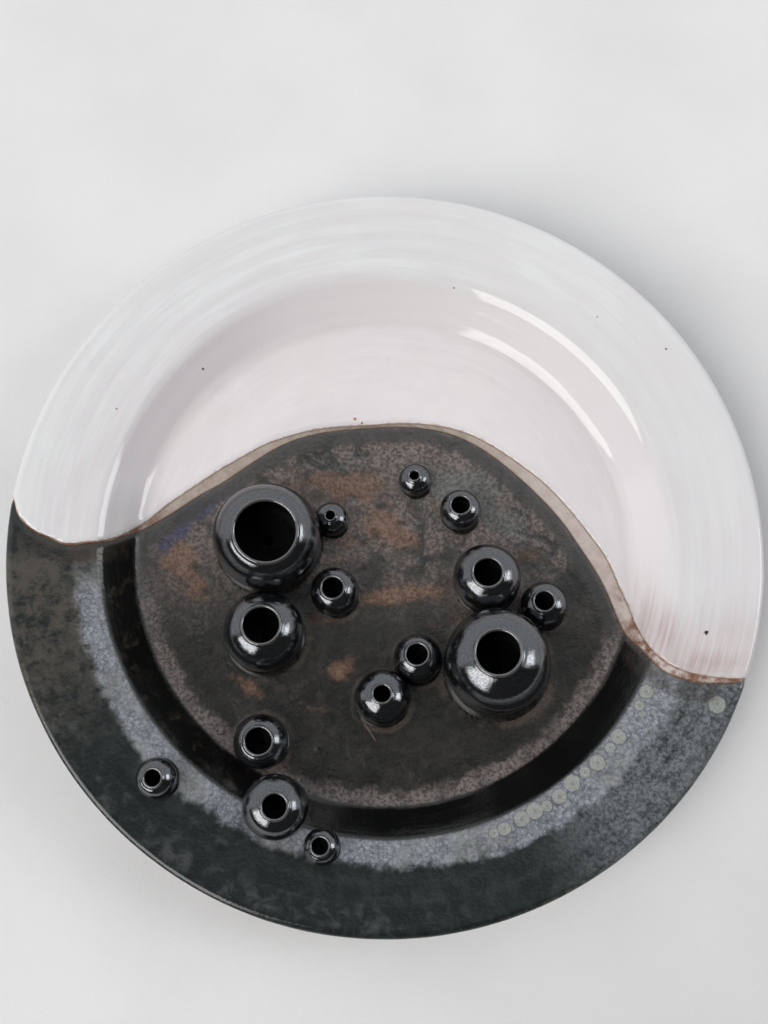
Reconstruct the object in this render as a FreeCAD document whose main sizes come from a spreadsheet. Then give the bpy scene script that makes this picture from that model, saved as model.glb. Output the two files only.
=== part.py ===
import FreeCAD, Part
import Sketcher
import os
import math
from FreeCAD import Vector, Placement, Rotation

# Flower frog: a wide, shallow stoneware arranging dish with fifteen small
# thrown ball cups luted to it.  Every cup is hollow, has a floor of its own
# and one round mouth that takes cut stems.
#
# Frame: millimetres, +Z up.  The origin is the centre of the foot circle on
# the table.  +X is to the right and +Y is away from the front of the dish,
# so the white crescent lies along +Y and most of the cups along -Y.

os.makedirs("parts", exist_ok=True)

doc = FreeCAD.newDocument("FlowerFrog")
sheet = doc.addObject("Spreadsheet::Sheet", "Sizes")
ROW = [0]
VALUE = {}


def cell(alias, value, note=""):
    """One driving dimension: a plain number in column B under its alias."""
    ROW[0] += 1
    n = ROW[0]
    sheet.set("A%d" % n, note or alias.replace("_", " "))
    sheet.set("B%d" % n, repr(float(value)))
    sheet.setAlias("B%d" % n, alias)
    VALUE[alias] = float(value)


class Dim:
    """A size that carries its number and the sheet expression behind it."""

    def __init__(self, value, text):
        self.value = float(value)
        self.text = text

    @staticmethod
    def of(other):
        if isinstance(other, Dim):
            return other
        return Dim(other, "(%r)" % float(other))

    def __add__(self, o):
        o = Dim.of(o)
        return Dim(self.value + o.value, "(%s + %s)" % (self.text, o.text))

    __radd__ = __add__

    def __sub__(self, o):
        o = Dim.of(o)
        return Dim(self.value - o.value, "(%s - %s)" % (self.text, o.text))

    def __rsub__(self, o):
        return Dim.of(o) - self

    def __mul__(self, o):
        o = Dim.of(o)
        return Dim(self.value * o.value, "(%s * %s)" % (self.text, o.text))

    __rmul__ = __mul__

    def __truediv__(self, o):
        o = Dim.of(o)
        return Dim(self.value / o.value, "(%s / %s)" % (self.text, o.text))


def dim(alias):
    return Dim(VALUE[alias], "Sizes.%s" % alias)


def root(d):
    return Dim(math.sqrt(d.value), "sqrt(%s)" % d.text)


def sine(d):
    return Dim(math.sin(math.radians(d.value)), "sin(%s)" % d.text)


def cosine(d):
    return Dim(math.cos(math.radians(d.value)), "cos(%s)" % d.text)


def tangent(d):
    return Dim(math.tan(math.radians(d.value)), "tan(%s)" % d.text)


# ----------------------------------------------------------------- the sheet
cell("lip_radius", 165.0, "outer radius of the glazed lip")
cell("lip_centre_height", 28.9, "height of the widest line of the lip")
cell("lip_roundness", 2.8, "radius of the rounded glazed lip, half the flange thickness")
cell("floor_height", 12.4, "height of the glazed well floor above the table")
cell("well_radius", 106.2, "radius of the flat well floor")
cell("well_corner", 9.5, "radius of the curve from floor to wall")
cell("wall_angle", 46.0, "slope of the well wall")
cell("shoulder_round", 9.5, "radius of the shoulder between wall and flange")
cell("flange_angle", 5.0, "rise of the flange towards the lip")
cell("base_height", 5.0, "height of the clay underside above the table, which is the foot height")
cell("outer_wall_angle", 48.0, "slope of the outside of the wall")
cell("outer_shoulder_round", 16.0, "radius under the flange")
cell("glaze_thickness", 0.6, "thickness of the fired glaze")
cell("glaze_foot_line", 108.5, "radius at which the underside glaze stops")
cell("foot_inner_top", 87.5, "foot ring, inner radius at the clay")
cell("foot_outer_top", 98.5, "foot ring, outer radius at the clay")
cell("foot_inner_low", 89.5, "foot ring, inner radius at the table")
cell("foot_outer_low", 96.0, "foot ring, outer radius at the table")
cell("foot_edge", 0.8, "bevel of the foot where it meets the table")
cell("belly_arc_ratio", 0.8, "belly arc radius over belly radius")
cell("belly_height_ratio", 0.742, "height of the widest line over belly radius")
cell("stub_depth", 3.2, "how far a cup runs down to be keyed into the clay")
cell("lip_rise", 0.30, "how far a mouth lip stands proud of the ball")
cell("seam_overlap", 0.7, "how far a luting ring laps into its cup")
cell("ring_climb_ratio", 0.30, "height of a luting ring over belly radius")
cell("ring_depth", 14.0, "depth of the uncut luting plug below the seat")

# name: belly radius, mouth radius, x, y, lean, bearing of the lean,
#       wall thickness, lip width, floor of the cup above the glaze,
#       slope of the seat, reach of the luting ring over belly radius,
#       lift of the seat above the glaze
CUPS = [
    ("one",      23.50, 12.90,  -52.00,    4.05, 4.0,  -74.0, 2.1, 1.55, 3.4,  0.0, 1.12, 0.0),
    ("two",       7.58,  2.00,  -24.20,   14.60, 6.0,  143.0, 1.6, 0.90, 2.3,  0.0, 1.12, 0.0),
    ("three",    10.68,  4.55,  -22.60,  -18.50, 5.6,  154.0, 1.7, 1.05, 2.5,  0.0, 1.12, 0.0),
    ("four",     17.45,  7.65,  -53.10,  -36.90, 3.7,  101.0, 2.0, 1.35, 3.0,  0.0, 1.10, 0.0),
    ("five",      7.28,  2.10,   13.10,   32.80, 8.0,  128.0, 1.6, 0.90, 2.3,  0.0, 1.14, 0.0),
    ("six",       9.15,  4.00,   33.30,   18.70, 7.0,  118.0, 1.6, 1.00, 2.4,  0.0, 1.12, 0.0),
    ("seven",    14.85,  6.00,   44.30,  -12.70, 3.1,  148.0, 1.9, 1.25, 2.8,  0.0, 1.06, 0.0),
    ("eight",    10.30,  4.10,   69.50,  -24.30, 7.0,  144.0, 1.7, 1.05, 2.5,  0.0, 1.04, 0.0),
    ("nine",     22.85,  9.15,   47.70,  -50.00, 6.0,  131.0, 2.1, 1.50, 3.4,  0.0, 1.12, 0.0),
    ("ten",      10.60,  4.50,   13.77,  -47.90, 7.0,  122.0, 1.7, 1.05, 2.5,  0.0, 1.12, 0.0),
    ("eleven",   12.00,  3.60,   -1.57,  -64.90, 3.9,  114.0, 1.8, 1.10, 2.6,  0.0, 1.12, 0.0),
    ("twelve",   11.75,  5.55,  -53.70,  -83.80, 3.6, -137.0, 1.8, 1.10, 2.8,  0.0, 1.10, 0.0),
    ("thirteen",  8.60,  3.40,  -95.60,  -99.90, 6.0, -162.0, 1.7, 1.00, 2.6,  5.0, 1.12, 0.0),
    ("fourteen", 13.65,  4.95,  -46.30, -111.60, 2.3,   -4.0, 1.9, 1.20, 5.4, 20.0, 1.08, 1.2),
    ("fifteen",   7.60,  3.45,  -26.80, -127.60, 5.5,  161.0, 1.6, 0.95, 2.6, 10.0, 1.10, 0.0),
]
COLS = ["belly", "mouth", "east", "north", "lean", "bearing", "wall", "lipwidth",
        "inside", "seat_slope", "ring_reach", "lift"]
for row in CUPS:
    for col, val in zip(COLS, row[1:]):
        cell("cup_%s_%s" % (row[0], col), val)

# The two hand-poured glaze edges, from the left lip to the right lip.
BLACK_EDGE = [(-172.0, 34.0), (-165.4, 23.0), (-162.4, 18.0), (-161.4, 14.6), (-157.9, 9.5),
              (-152.4, 5.4), (-146.2, 2.8), (-140.8, 0.5), (-135.5, 0.3), (-129.4, 1.2),
              (-123.6, 2.2), (-115.9, 6.6), (-107.9, 11.3), (-99.9, 16.1), (-91.0, 22.0),
              (-82.0, 28.0), (-75.2, 31.8), (-68.4, 36.5), (-61.6, 41.4), (-50.1, 48.8),
              (-42.0, 52.7), (-33.9, 55.3), (-25.8, 56.9), (-13.1, 58.3), (-1.3, 59.1),
              (8.8, 59.2), (20.1, 58.2), (31.4, 55.3), (40.4, 51.1), (53.8, 41.6), (67.0, 29.4),
              (77.9, 17.3), (88.6, 1.4), (93.5, -6.5), (96.5, -12.0), (101.2, -23.4),
              (103.9, -31.0), (106.5, -37.5), (110.6, -43.1), (114.3, -49.2), (119.3, -54.2),
              (125.6, -57.0), (131.9, -58.8), (139.1, -59.6), (146.4, -59.4), (156.0, -59.2),
              (172.0, -58.6)]
WHITE_EDGE = [(-172.0, 34.8), (-165.4, 23.6), (-162.4, 18.7), (-161.2, 15.1), (-157.6, 10.0),
              (-152.1, 5.9), (-145.9, 3.3), (-140.6, 1.1), (-135.5, 1.0), (-129.4, 1.8),
              (-123.8, 2.8), (-116.0, 7.3), (-109.6, 12.6), (-102.3, 19.0), (-93.4, 26.0),
              (-84.4, 32.3), (-76.5, 37.9), (-67.4, 43.5), (-59.4, 48.3), (-52.5, 51.8),
              (-44.4, 54.6), (-36.3, 56.9), (-27.0, 58.6), (-13.1, 59.7), (-1.3, 60.5),
              (11.0, 61.0), (20.1, 60.3), (31.4, 58.3), (40.4, 55.0), (48.3, 50.8), (56.1, 45.6),
              (65.0, 38.9), (73.8, 31.3), (80.4, 24.1), (86.8, 16.1), (93.3, 7.3), (99.6, -2.6),
              (103.2, -11.4), (106.7, -20.3), (108.9, -28.1), (110.3, -33.4), (112.3, -39.1),
              (115.4, -45.4), (121.3, -50.9), (127.5, -54.0), (134.8, -56.1), (143.8, -57.4),
              (156.0, -57.6), (172.0, -57.0)]
for label, pts in (("black_edge", BLACK_EDGE), ("white_edge", WHITE_EDGE)):
    for i, (x, y) in enumerate(pts):
        cell("%s_%02d_east" % (label, i), x)
        cell("%s_%02d_north" % (label, i), y)
doc.recompute()


# ------------------------------------------------------------ sketch helpers
def origin_plane(body, role):
    for feat in body.Origin.OriginFeatures:
        if feat.Role == role:
            return feat
    raise RuntimeError("no origin plane " + role)


def angle_of(cx, cz, x, z):
    return math.atan2(z - cz, x - cx)


def turned_body(label, path):
    """A Body turned about its own Z axis from a closed section.

    path is a list of corners and arcs in order: ("to", x, z) is a straight
    run to a corner, ("arc", cx, cz, radius, x, z, ccw) an arc to a corner.
    All the sizes are Dim, x outwards and z up, in the XZ plane.
    """
    body = doc.addObject("PartDesign::Body", label + "_turned")
    body.Label = label + "_turned"
    sk = body.newObject("Sketcher::SketchObject", label + "_section")
    sk.AttachmentSupport = [(origin_plane(body, "XZ_Plane"), "")]
    sk.MapMode = "FlatFace"
    corners = []
    for seg in path:
        corners.append((seg[1], seg[2]) if seg[0] == "to" else (seg[4], seg[5]))
    n = len(path)
    ids = []
    for i, seg in enumerate(path):
        x0, z0 = corners[i - 1]
        x1, z1 = corners[i]
        if seg[0] == "to":
            gid = sk.addGeometry(Part.LineSegment(Vector(x0.value, z0.value, 0),
                                                  Vector(x1.value, z1.value, 0)), False)
            ids.append((gid, 1, 2))
        else:
            cx, cz, rad, ccw = seg[1], seg[2], seg[3], seg[6]
            a0 = angle_of(cx.value, cz.value, x0.value, z0.value)
            a1 = angle_of(cx.value, cz.value, x1.value, z1.value)
            circle = Part.Circle(Vector(cx.value, cz.value, 0), Vector(0, 0, 1), rad.value)
            if ccw:
                while a1 < a0:
                    a1 += 2 * math.pi
                gid = sk.addGeometry(Part.ArcOfCircle(circle, a0, a1), False)
                ids.append((gid, 1, 2))
            else:
                while a0 < a1:
                    a0 += 2 * math.pi
                gid = sk.addGeometry(Part.ArcOfCircle(circle, a1, a0), False)
                ids.append((gid, 2, 1))
    for i in range(n):
        g, _, end = ids[i]
        g2, start, _ = ids[(i + 1) % n]
        sk.addConstraint(Sketcher.Constraint("Coincident", g, end, g2, start))
    for i, (x, z) in enumerate(corners):
        g, _, end = ids[i]
        if abs(x.value) < 1e-9:
            sk.addConstraint(Sketcher.Constraint("PointOnObject", g, end, -2))
        else:
            k = sk.addConstraint(Sketcher.Constraint("DistanceX", g, end, x.value))
            sk.renameConstraint(k, "x%02d" % i)
            sk.setExpression("Constraints.x%02d" % i, x.text)
        k = sk.addConstraint(Sketcher.Constraint("DistanceY", g, end, z.value))
        sk.renameConstraint(k, "z%02d" % i)
        sk.setExpression("Constraints.z%02d" % i, z.text)
    for i, seg in enumerate(path):
        if seg[0] == "arc":
            # the radius closes an arc between two set corners; where the
            # solver counts it as redundant, the centre is set instead
            ways = [(("Radius", ids[i][0], seg[3].value), seg[3].text),
                    (("DistanceX", ids[i][0], 3, seg[1].value), seg[1].text),
                    (("DistanceY", ids[i][0], 3, seg[2].value), seg[2].text)]
            for args, text in ways:
                k = sk.addConstraint(Sketcher.Constraint(*args))
                if sk.solve() == 0:
                    sk.renameConstraint(k, "bend%02d" % i)
                    sk.setExpression("Constraints.bend%02d" % i, text)
                    break
                sk.delConstraint(k)
            else:
                raise RuntimeError("arc %d of %s cannot be set" % (i, label))
    rev = body.newObject("PartDesign::Revolution", label + "_revolution")
    rev.Profile = sk
    rev.ReferenceAxis = (sk, ["V_Axis"])
    rev.Angle = 360.0
    body.Tip = rev
    return body


ZERO = Dim(0.0, "(0.0)")

# --------------------------------------------------- the section of the dish
g = dim("glaze_thickness")
zf = dim("floor_height")
r1 = dim("well_radius")
rc1 = dim("well_corner")
al = dim("wall_angle")
rc2 = dim("shoulder_round")
be = dim("flange_angle")
rl = dim("lip_roundness")
lx = dim("lip_radius") - rl
lz = dim("lip_centre_height")
c1x, c1z = r1, zf + rc1


def upper(o):
    """Corners of the top surface, set back by o into the clay."""
    p2 = (r1 + (rc1 + o) * sine(al), c1z - (rc1 + o) * cosine(al))
    p5 = (lx - (rl - o) * sine(be), lz + (rl - o) * cosine(be))
    return p2, p5


# The wall line and the flange line of the glazed surface meet at (mx, mz); the
# shoulder arc is tangent to both, so its centre serves every set-back.
p2, p5 = upper(ZERO)
mx = (p5[1] - p2[1] + p2[0] * tangent(al) - p5[0] * tangent(be)) / (tangent(al) - tangent(be))
mz = p2[1] + (mx - p2[0]) * tangent(al)
half = (al - be) / 2.0
c2x = mx - rc2 * tangent(half) * cosine(al) + rc2 * sine(al)
c2z = mz - rc2 * tangent(half) * sine(al) - rc2 * cosine(al)


def shoulder(o):
    a = (c2x - (rc2 - o) * sine(al), c2z + (rc2 - o) * cosine(al))
    b = (c2x - (rc2 - o) * sine(be), c2z + (rc2 - o) * cosine(be))
    return a, b


# Underside: concentric with the well corner, then a steeper wall line and a
# flange line that is tangent to the lip.
ol = dim("outer_wall_angle")
rb = zf + rc1 - dim("base_height")
ro2 = dim("outer_shoulder_round")


def lower(o):
    """Corners of the underside, moved out by o from the clay."""
    q2 = (r1 + (rb + o) * sine(ol), c1z - (rb + o) * cosine(ol))
    q5 = (lx + (rl - g + o) * sine(be), lz - (rl - g + o) * cosine(be))
    return q2, q5


q2, q5 = lower(ZERO)
nx = (q5[1] - q2[1] + q2[0] * tangent(ol) - q5[0] * tangent(be)) / (tangent(ol) - tangent(be))
nz = q2[1] + (nx - q2[0]) * tangent(ol)
halfo = (ol - be) / 2.0
c3x = nx - ro2 * tangent(halfo) * cosine(ol) + ro2 * sine(ol)
c3z = nz - ro2 * tangent(halfo) * sine(ol) - ro2 * cosine(ol)


def under_shoulder(o):
    a = (c3x - (ro2 - o) * sine(ol), c3z + (ro2 - o) * cosine(ol))
    b = (c3x - (ro2 - o) * sine(be), c3z + (ro2 - o) * cosine(be))
    return a, b


s1, s2 = shoulder(g)
p2g, p5g = upper(g)
u1, u2 = under_shoulder(ZERO)
dish = turned_body("dish_body", [
    ("to", ZERO, zf - g),
    ("to", r1, zf - g),
    ("arc", c1x, c1z, rc1 + g, p2g[0], p2g[1], True),
    ("to", s1[0], s1[1]),
    ("arc", c2x, c2z, rc2 - g, s2[0], s2[1], False),
    ("to", p5g[0], p5g[1]),
    ("arc", lx, lz, rl - g, q5[0], q5[1], False),
    ("to", u2[0], u2[1]),
    ("arc", c3x, c3z, ro2, u1[0], u1[1], True),
    ("to", q2[0], q2[1]),
    ("arc", c1x, c1z, rb, r1, dim("base_height"), False),
    ("to", ZERO, dim("base_height")),
])
dish.Label = "dish_body"

# Foot: a turned ring under the floor, bevelled where it meets the table.
fb = dim("foot_edge")
foot = turned_body("foot_ring", [
    ("to", dim("foot_inner_top"), dim("base_height")),
    ("to", dim("foot_outer_top"), dim("base_height")),
    ("to", dim("foot_outer_low"), fb),
    ("to", dim("foot_outer_low") - fb, ZERO),
    ("to", dim("foot_inner_low") + fb, ZERO),
    ("to", dim("foot_inner_low"), fb),
])
foot.Label = "foot_ring"

# Glaze sheets before they are trimmed to their poured edges: one over the top
# of the dish out to the widest line of the lip, one under the flange.
t1, t2 = shoulder(ZERO)
top_sheet = turned_body("top_glaze_sheet", [
    ("to", ZERO, zf - g),
    ("to", r1, zf - g),
    ("arc", c1x, c1z, rc1 + g, p2g[0], p2g[1], True),
    ("to", s1[0], s1[1]),
    ("arc", c2x, c2z, rc2 - g, s2[0], s2[1], False),
    ("to", p5g[0], p5g[1]),
    ("arc", lx, lz, rl - g, lx + rl - g, lz, False),
    ("to", lx + rl, lz),
    ("arc", lx, lz, rl, p5[0], p5[1], True),
    ("to", t2[0], t2[1]),
    ("arc", c2x, c2z, rc2, t1[0], t1[1], True),
    ("to", p2[0], p2[1]),
    ("arc", c1x, c1z, rc1, r1, zf, False),
    ("to", ZERO, zf),
])
v1, v2 = under_shoulder(g)
q2g, q5g = lower(g)
fl = dim("glaze_foot_line")
low_sheet = turned_body("under_glaze_sheet", [
    ("to", lx + rl - g, lz),
    ("arc", lx, lz, rl - g, q5[0], q5[1], False),
    ("to", u2[0], u2[1]),
    ("arc", c3x, c3z, ro2, u1[0], u1[1], True),
    ("to", q2[0], q2[1]),
    ("arc", c1x, c1z, rb, fl, c1z - root(rb * rb - (fl - r1) * (fl - r1)), False),
    ("to", fl, c1z - root((rb + g) * (rb + g) - (fl - r1) * (fl - r1))),
    ("arc", c1x, c1z, rb + g, q2g[0], q2g[1], True),
    ("to", v1[0], v1[1]),
    ("arc", c3x, c3z, ro2 - g, v2[0], v2[1], False),
    ("to", q5g[0], q5g[1]),
    ("arc", lx, lz, rl, lx + rl, lz, True),
])
# Everything under the clay's top surface: what a cup or a ring may not enter.
ground = turned_body("under_the_clay", [
    ("to", ZERO, zf - g),
    ("to", r1, zf - g),
    ("arc", c1x, c1z, rc1 + g, p2g[0], p2g[1], True),
    ("to", s1[0], s1[1]),
    ("arc", c2x, c2z, rc2 - g, s2[0], s2[1], False),
    ("to", p5g[0], p5g[1]),
    ("to", p5g[0], ZERO - 30.0),
    ("to", ZERO, ZERO - 30.0),
])
doc.recompute()


# ----------------------------------------------------------- cups and seams
def surface_height(r):
    """Height of the glazed top surface at radius r."""
    if r <= r1.value:
        return zf.value
    if r <= p2[0].value:
        return c1z.value - math.sqrt(rc1.value ** 2 - (r - r1.value) ** 2)
    if r <= t1[0].value:
        return p2[1].value + (r - p2[0].value) * math.tan(math.radians(al.value))
    if r <= t2[0].value:
        return c2z.value + math.sqrt(rc2.value ** 2 - (r - c2x.value) ** 2)
    return p5[1].value - (p5[0].value - r) * math.tan(math.radians(be.value))


def leaning(axis):
    """Rotation that brings +Z onto the given unit axis."""
    return Rotation(Vector(0, 0, 1), axis)


nodes = [("dish_body", dish), ("foot_ring", foot)]
cups, rings, plugs, balls, cores, seats_at = [], [], [], [], [], []
for number, row in enumerate(CUPS, 1):
    word = row[0]

    def cup(col):
        return dim("cup_%s_%s" % (word, col))

    a, m = cup("belly"), cup("mouth")
    rho = a * dim("belly_arc_ratio")
    w = a - rho
    c = a * dim("belly_height_ratio")
    wall, lw, inside = cup("wall"), cup("lipwidth"), cup("inside")
    stub = dim("stub_depth")
    contact = w + root(rho * rho - c * c)
    # The outer arc ends at the foot of the lip; the lip is a round bead whose
    # inner side runs straight down into the mouth.
    shoulder_x = m + lw
    lip_z = c + root(rho * rho - (shoulder_x - w) * (shoulder_x - w))
    sag = (root(rho * rho - (m + lw / 2.0 - w) * (m + lw / 2.0 - w)) + c
           + dim("lip_rise") - lip_z)
    lip_r = (lw * lw / 4.0 + sag * sag) / (2.0 * sag)
    lip_cz = lip_z + sag - lip_r
    ri = rho - wall
    throat_z = c + root(ri * ri - (m - w) * (m - w))
    floor_x = w + root(ri * ri - (c - inside) * (c - inside))
    label = "stem_cup_%02d" % number
    ball = turned_body(label, [
        ("to", ZERO, ZERO - stub),
        ("to", contact - 0.35, ZERO - stub),
        ("to", contact, ZERO),
        ("arc", w, c, rho, shoulder_x, lip_z, True),
        ("arc", m + lw / 2.0, lip_cz, lip_r, m, lip_z, True),
        ("to", m, throat_z),
        ("arc", w, c, ri, floor_x, inside, False),
        ("to", ZERO, inside),
    ])
    lean, bearing = math.radians(cup("lean").value), math.radians(cup("bearing").value)
    axis = Vector(math.sin(lean) * math.cos(bearing), math.sin(lean) * math.sin(bearing),
                  math.cos(lean))
    # east and north locate the widest line of the ball; the seat lies below it
    # along the axis of the cup.
    r = math.hypot(cup("east").value, cup("north").value)
    belly = Vector(cup("east").value, cup("north").value, surface_height(r) + c.value + cup("lift").value)
    seat = belly - axis * c.value
    ball.Placement = Placement(seat, leaning(axis))

    # Luting ring: a roll of clay pressed round the seat and hollowed by a
    # finger, so that it sweeps from the dish up to the belly of the cup.
    lap = dim("seam_overlap")
    climb = a * dim("ring_climb_ratio")
    touch_x = w + root(rho * rho - (c - climb) * (c - climb))
    edge_x = a * cup("ring_reach")
    # the concave sweep: an arc from the dish to the ball, bulging inwards
    dx, dz = edge_x - touch_x, climb
    chord2 = dx * dx + dz * dz
    sweep_r = root(chord2) * 0.95
    reach = root(sweep_r * sweep_r - chord2 / 4.0)
    sweep_cx = (edge_x + touch_x) / 2.0 + reach * dz / root(chord2)
    sweep_cz = climb / 2.0 + reach * dx / root(chord2)
    rlabel = "luting_ring_%02d" % number
    deep = dim("ring_depth")
    plug = turned_body(rlabel, [
        ("to", ZERO, ZERO - deep),
        ("to", edge_x, ZERO - deep),
        ("to", edge_x, ZERO),
        ("arc", sweep_cx, sweep_cz, sweep_r, touch_x, climb, False),
        ("to", touch_x - lap, climb),
        ("to", contact - lap, Dim(0.5, "(0.5)")),
        ("to", ZERO, Dim(0.5, "(0.5)")),
    ])
    slope = math.radians(cup("seat_slope").value)
    out = Vector(belly.x / r, belly.y / r, 0)
    normal = Vector(-out.x * math.sin(slope), -out.y * math.sin(slope), math.cos(slope))
    plug.Placement = Placement(seat, leaning(normal))
    # The core fills the hollow of the cup, so that nothing of a ring is left
    # inside it.
    core_z = inside - 0.3
    core = doc.addObject("Part::Cone", rlabel + "_core")
    low_x = w + root(rho * rho - (c - core_z) * (c - core_z)) - 0.4
    core.setExpression("Radius1", low_x.text)
    core.setExpression("Radius2", (a - 0.4).text)
    core.setExpression("Height", (c - core_z).text)
    core.Placement = Placement(seat + axis * core_z.value, leaning(axis))
    doc.recompute()

    # The cup is trimmed to the clay it stands on.
    trimmed = doc.addObject("Part::Cut", label)
    trimmed.Base = ball
    trimmed.Tool = ground
    trimmed.Label = label
    cups.append(trimmed)
    seats_at.append((seat, edge_x.value))
    balls.append(ball)
    plugs.append(plug)
    cores.append(core)
doc.recompute()

# Each ring is trimmed to the clay, to its own cup, to any cup that stands in
# its way and to the rings pressed down before it.
for k, plug in enumerate(plugs):
    tools = [ground, balls[k], cores[k]]
    for j in range(len(plugs)):
        gap = (seats_at[k][0] - seats_at[j][0]).Length
        if j != k and gap < seats_at[k][1] + seats_at[j][1] + 1.0:
            tools.append(balls[j])
            if j < k:
                tools.append(plugs[j])
    rlabel = "luting_ring_%02d" % (k + 1)
    seam_tool = doc.addObject("Part::MultiFuse", rlabel + "_trim")
    seam_tool.Shapes = tools
    ring = doc.addObject("Part::Cut", rlabel)
    ring.Base = plug
    ring.Tool = seam_tool
    ring.Label = rlabel
    rings.append(ring)
doc.recompute()


# ------------------------------------------------------------- glaze coats
def poured_region(name, key, count):
    """Upright block over the part of the dish in front of a poured edge.

    The edge is a free curve left by pouring, so it is a spline through the
    points in the sheet rather than a dimensioned sketch.
    """
    pts = [Vector(VALUE["%s_%02d_east" % (key, i)], VALUE["%s_%02d_north" % (key, i)], 0.0)
           for i in range(count)]
    curve = Part.BSplineCurve()
    curve.interpolate(pts)
    first, last = pts[0], pts[-1]
    corners = [last, Vector(185, last.y, 0), Vector(185, -190, 0), Vector(-190, -190, 0),
               Vector(-190, first.y, 0), first]
    edges = [curve.toShape()] + [Part.makeLine(corners[i], corners[i + 1]) for i in range(5)]
    face = Part.Face(Part.Wire(edges))
    block = doc.addObject("Part::Feature", name)
    block.Shape = face.extrude(Vector(0, 0, 60))
    block.Placement = Placement(Vector(0, 0, 0), Rotation())
    return block


black_block = poured_region("black_pour", "black_edge", len(BLACK_EDGE))
white_block = poured_region("white_resist", "white_edge", len(WHITE_EDGE))

black_sheet = doc.addObject("Part::Common", "black_glaze_sheet")
black_sheet.Base = top_sheet
black_sheet.Tool = black_block
seats = doc.addObject("Part::MultiFuse", "all_seats")
seats.Shapes = plugs + [cups[11], cups[12], cups[13], cups[14]]
black = doc.addObject("Part::Cut", "black_glaze_coat")
black.Base = black_sheet
black.Tool = seats
black.Label = "black_glaze_coat"

white_top = doc.addObject("Part::Cut", "white_glaze_top")
white_top.Base = top_sheet
white_top.Tool = white_block
white = doc.addObject("Part::MultiFuse", "white_glaze_coat")
white.Shapes = [white_top, low_sheet]
white.Label = "white_glaze_coat"
doc.recompute()

nodes += [("white_glaze_coat", white), ("black_glaze_coat", black)]
nodes += [("stem_cup_%02d" % (i + 1), o) for i, o in enumerate(cups)]
nodes += [("luting_ring_%02d" % (i + 1), o) for i, o in enumerate(rings)]

# ------------------------------------------------------------------ checks
bad = []
for o in doc.Objects:
    if "Invalid" in o.State or "Error" in o.State:
        bad.append("%s: %s" % (o.Label, o.State))
for name, o in nodes:
    s = o.Shape
    if s.isNull() or not s.isValid():
        bad.append(name + ": null or invalid shape")
    elif len(s.Solids) != 1:
        bad.append("%s: %d solids %s" % (name, len(s.Solids),
                                         [round(k.Volume, 3) for k in s.Solids]))
    if o.Label != name:
        bad.append("%s: label is %s" % (name, o.Label))
for line in bad:
    print("PROBLEM", line)
if bad:
    raise RuntimeError("the model is not sound")

for name, o in nodes:
    o.Shape.exportStep("parts/%s.step" % name)
box = FreeCAD.BoundBox()
for name, o in nodes:
    box.add(o.Shape.BoundBox)
print("nodes", len(nodes), "box", [round(v, 3) for v in
      (box.XMin, box.XMax, box.YMin, box.YMax, box.ZMin, box.ZMax)])
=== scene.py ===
import bpy
import math
import numpy as np
from mathutils import Matrix, Vector
from mathutils.geometry import delaunay_2d_cdt


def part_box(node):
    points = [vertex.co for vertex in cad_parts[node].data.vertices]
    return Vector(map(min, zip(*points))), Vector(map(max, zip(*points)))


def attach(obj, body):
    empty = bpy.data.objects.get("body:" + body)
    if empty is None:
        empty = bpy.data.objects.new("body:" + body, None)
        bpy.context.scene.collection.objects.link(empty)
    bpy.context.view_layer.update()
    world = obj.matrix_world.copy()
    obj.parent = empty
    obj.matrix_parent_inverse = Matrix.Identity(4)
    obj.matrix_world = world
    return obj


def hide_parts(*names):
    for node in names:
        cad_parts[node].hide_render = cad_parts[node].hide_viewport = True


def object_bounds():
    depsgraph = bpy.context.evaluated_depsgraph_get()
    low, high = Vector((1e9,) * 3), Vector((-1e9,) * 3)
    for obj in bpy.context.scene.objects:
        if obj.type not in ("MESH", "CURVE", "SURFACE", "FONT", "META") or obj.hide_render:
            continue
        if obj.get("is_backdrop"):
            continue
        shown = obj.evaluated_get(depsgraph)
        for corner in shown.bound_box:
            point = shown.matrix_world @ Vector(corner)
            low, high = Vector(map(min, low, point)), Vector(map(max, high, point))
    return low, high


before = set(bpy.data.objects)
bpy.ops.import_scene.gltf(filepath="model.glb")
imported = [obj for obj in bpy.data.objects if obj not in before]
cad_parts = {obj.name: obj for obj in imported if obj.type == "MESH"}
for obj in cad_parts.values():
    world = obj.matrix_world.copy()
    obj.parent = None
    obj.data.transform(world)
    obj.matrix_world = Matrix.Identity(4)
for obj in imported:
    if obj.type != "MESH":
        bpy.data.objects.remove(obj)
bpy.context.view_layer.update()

# Flower frog: a thrown stoneware dish with fifteen ball cups luted to it, half
# of it under a pale glaze and half under a poured metallic black one.
# Everything below is worked in millimetres and written to the meshes in metres.

TAU = 2 * math.pi


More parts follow.
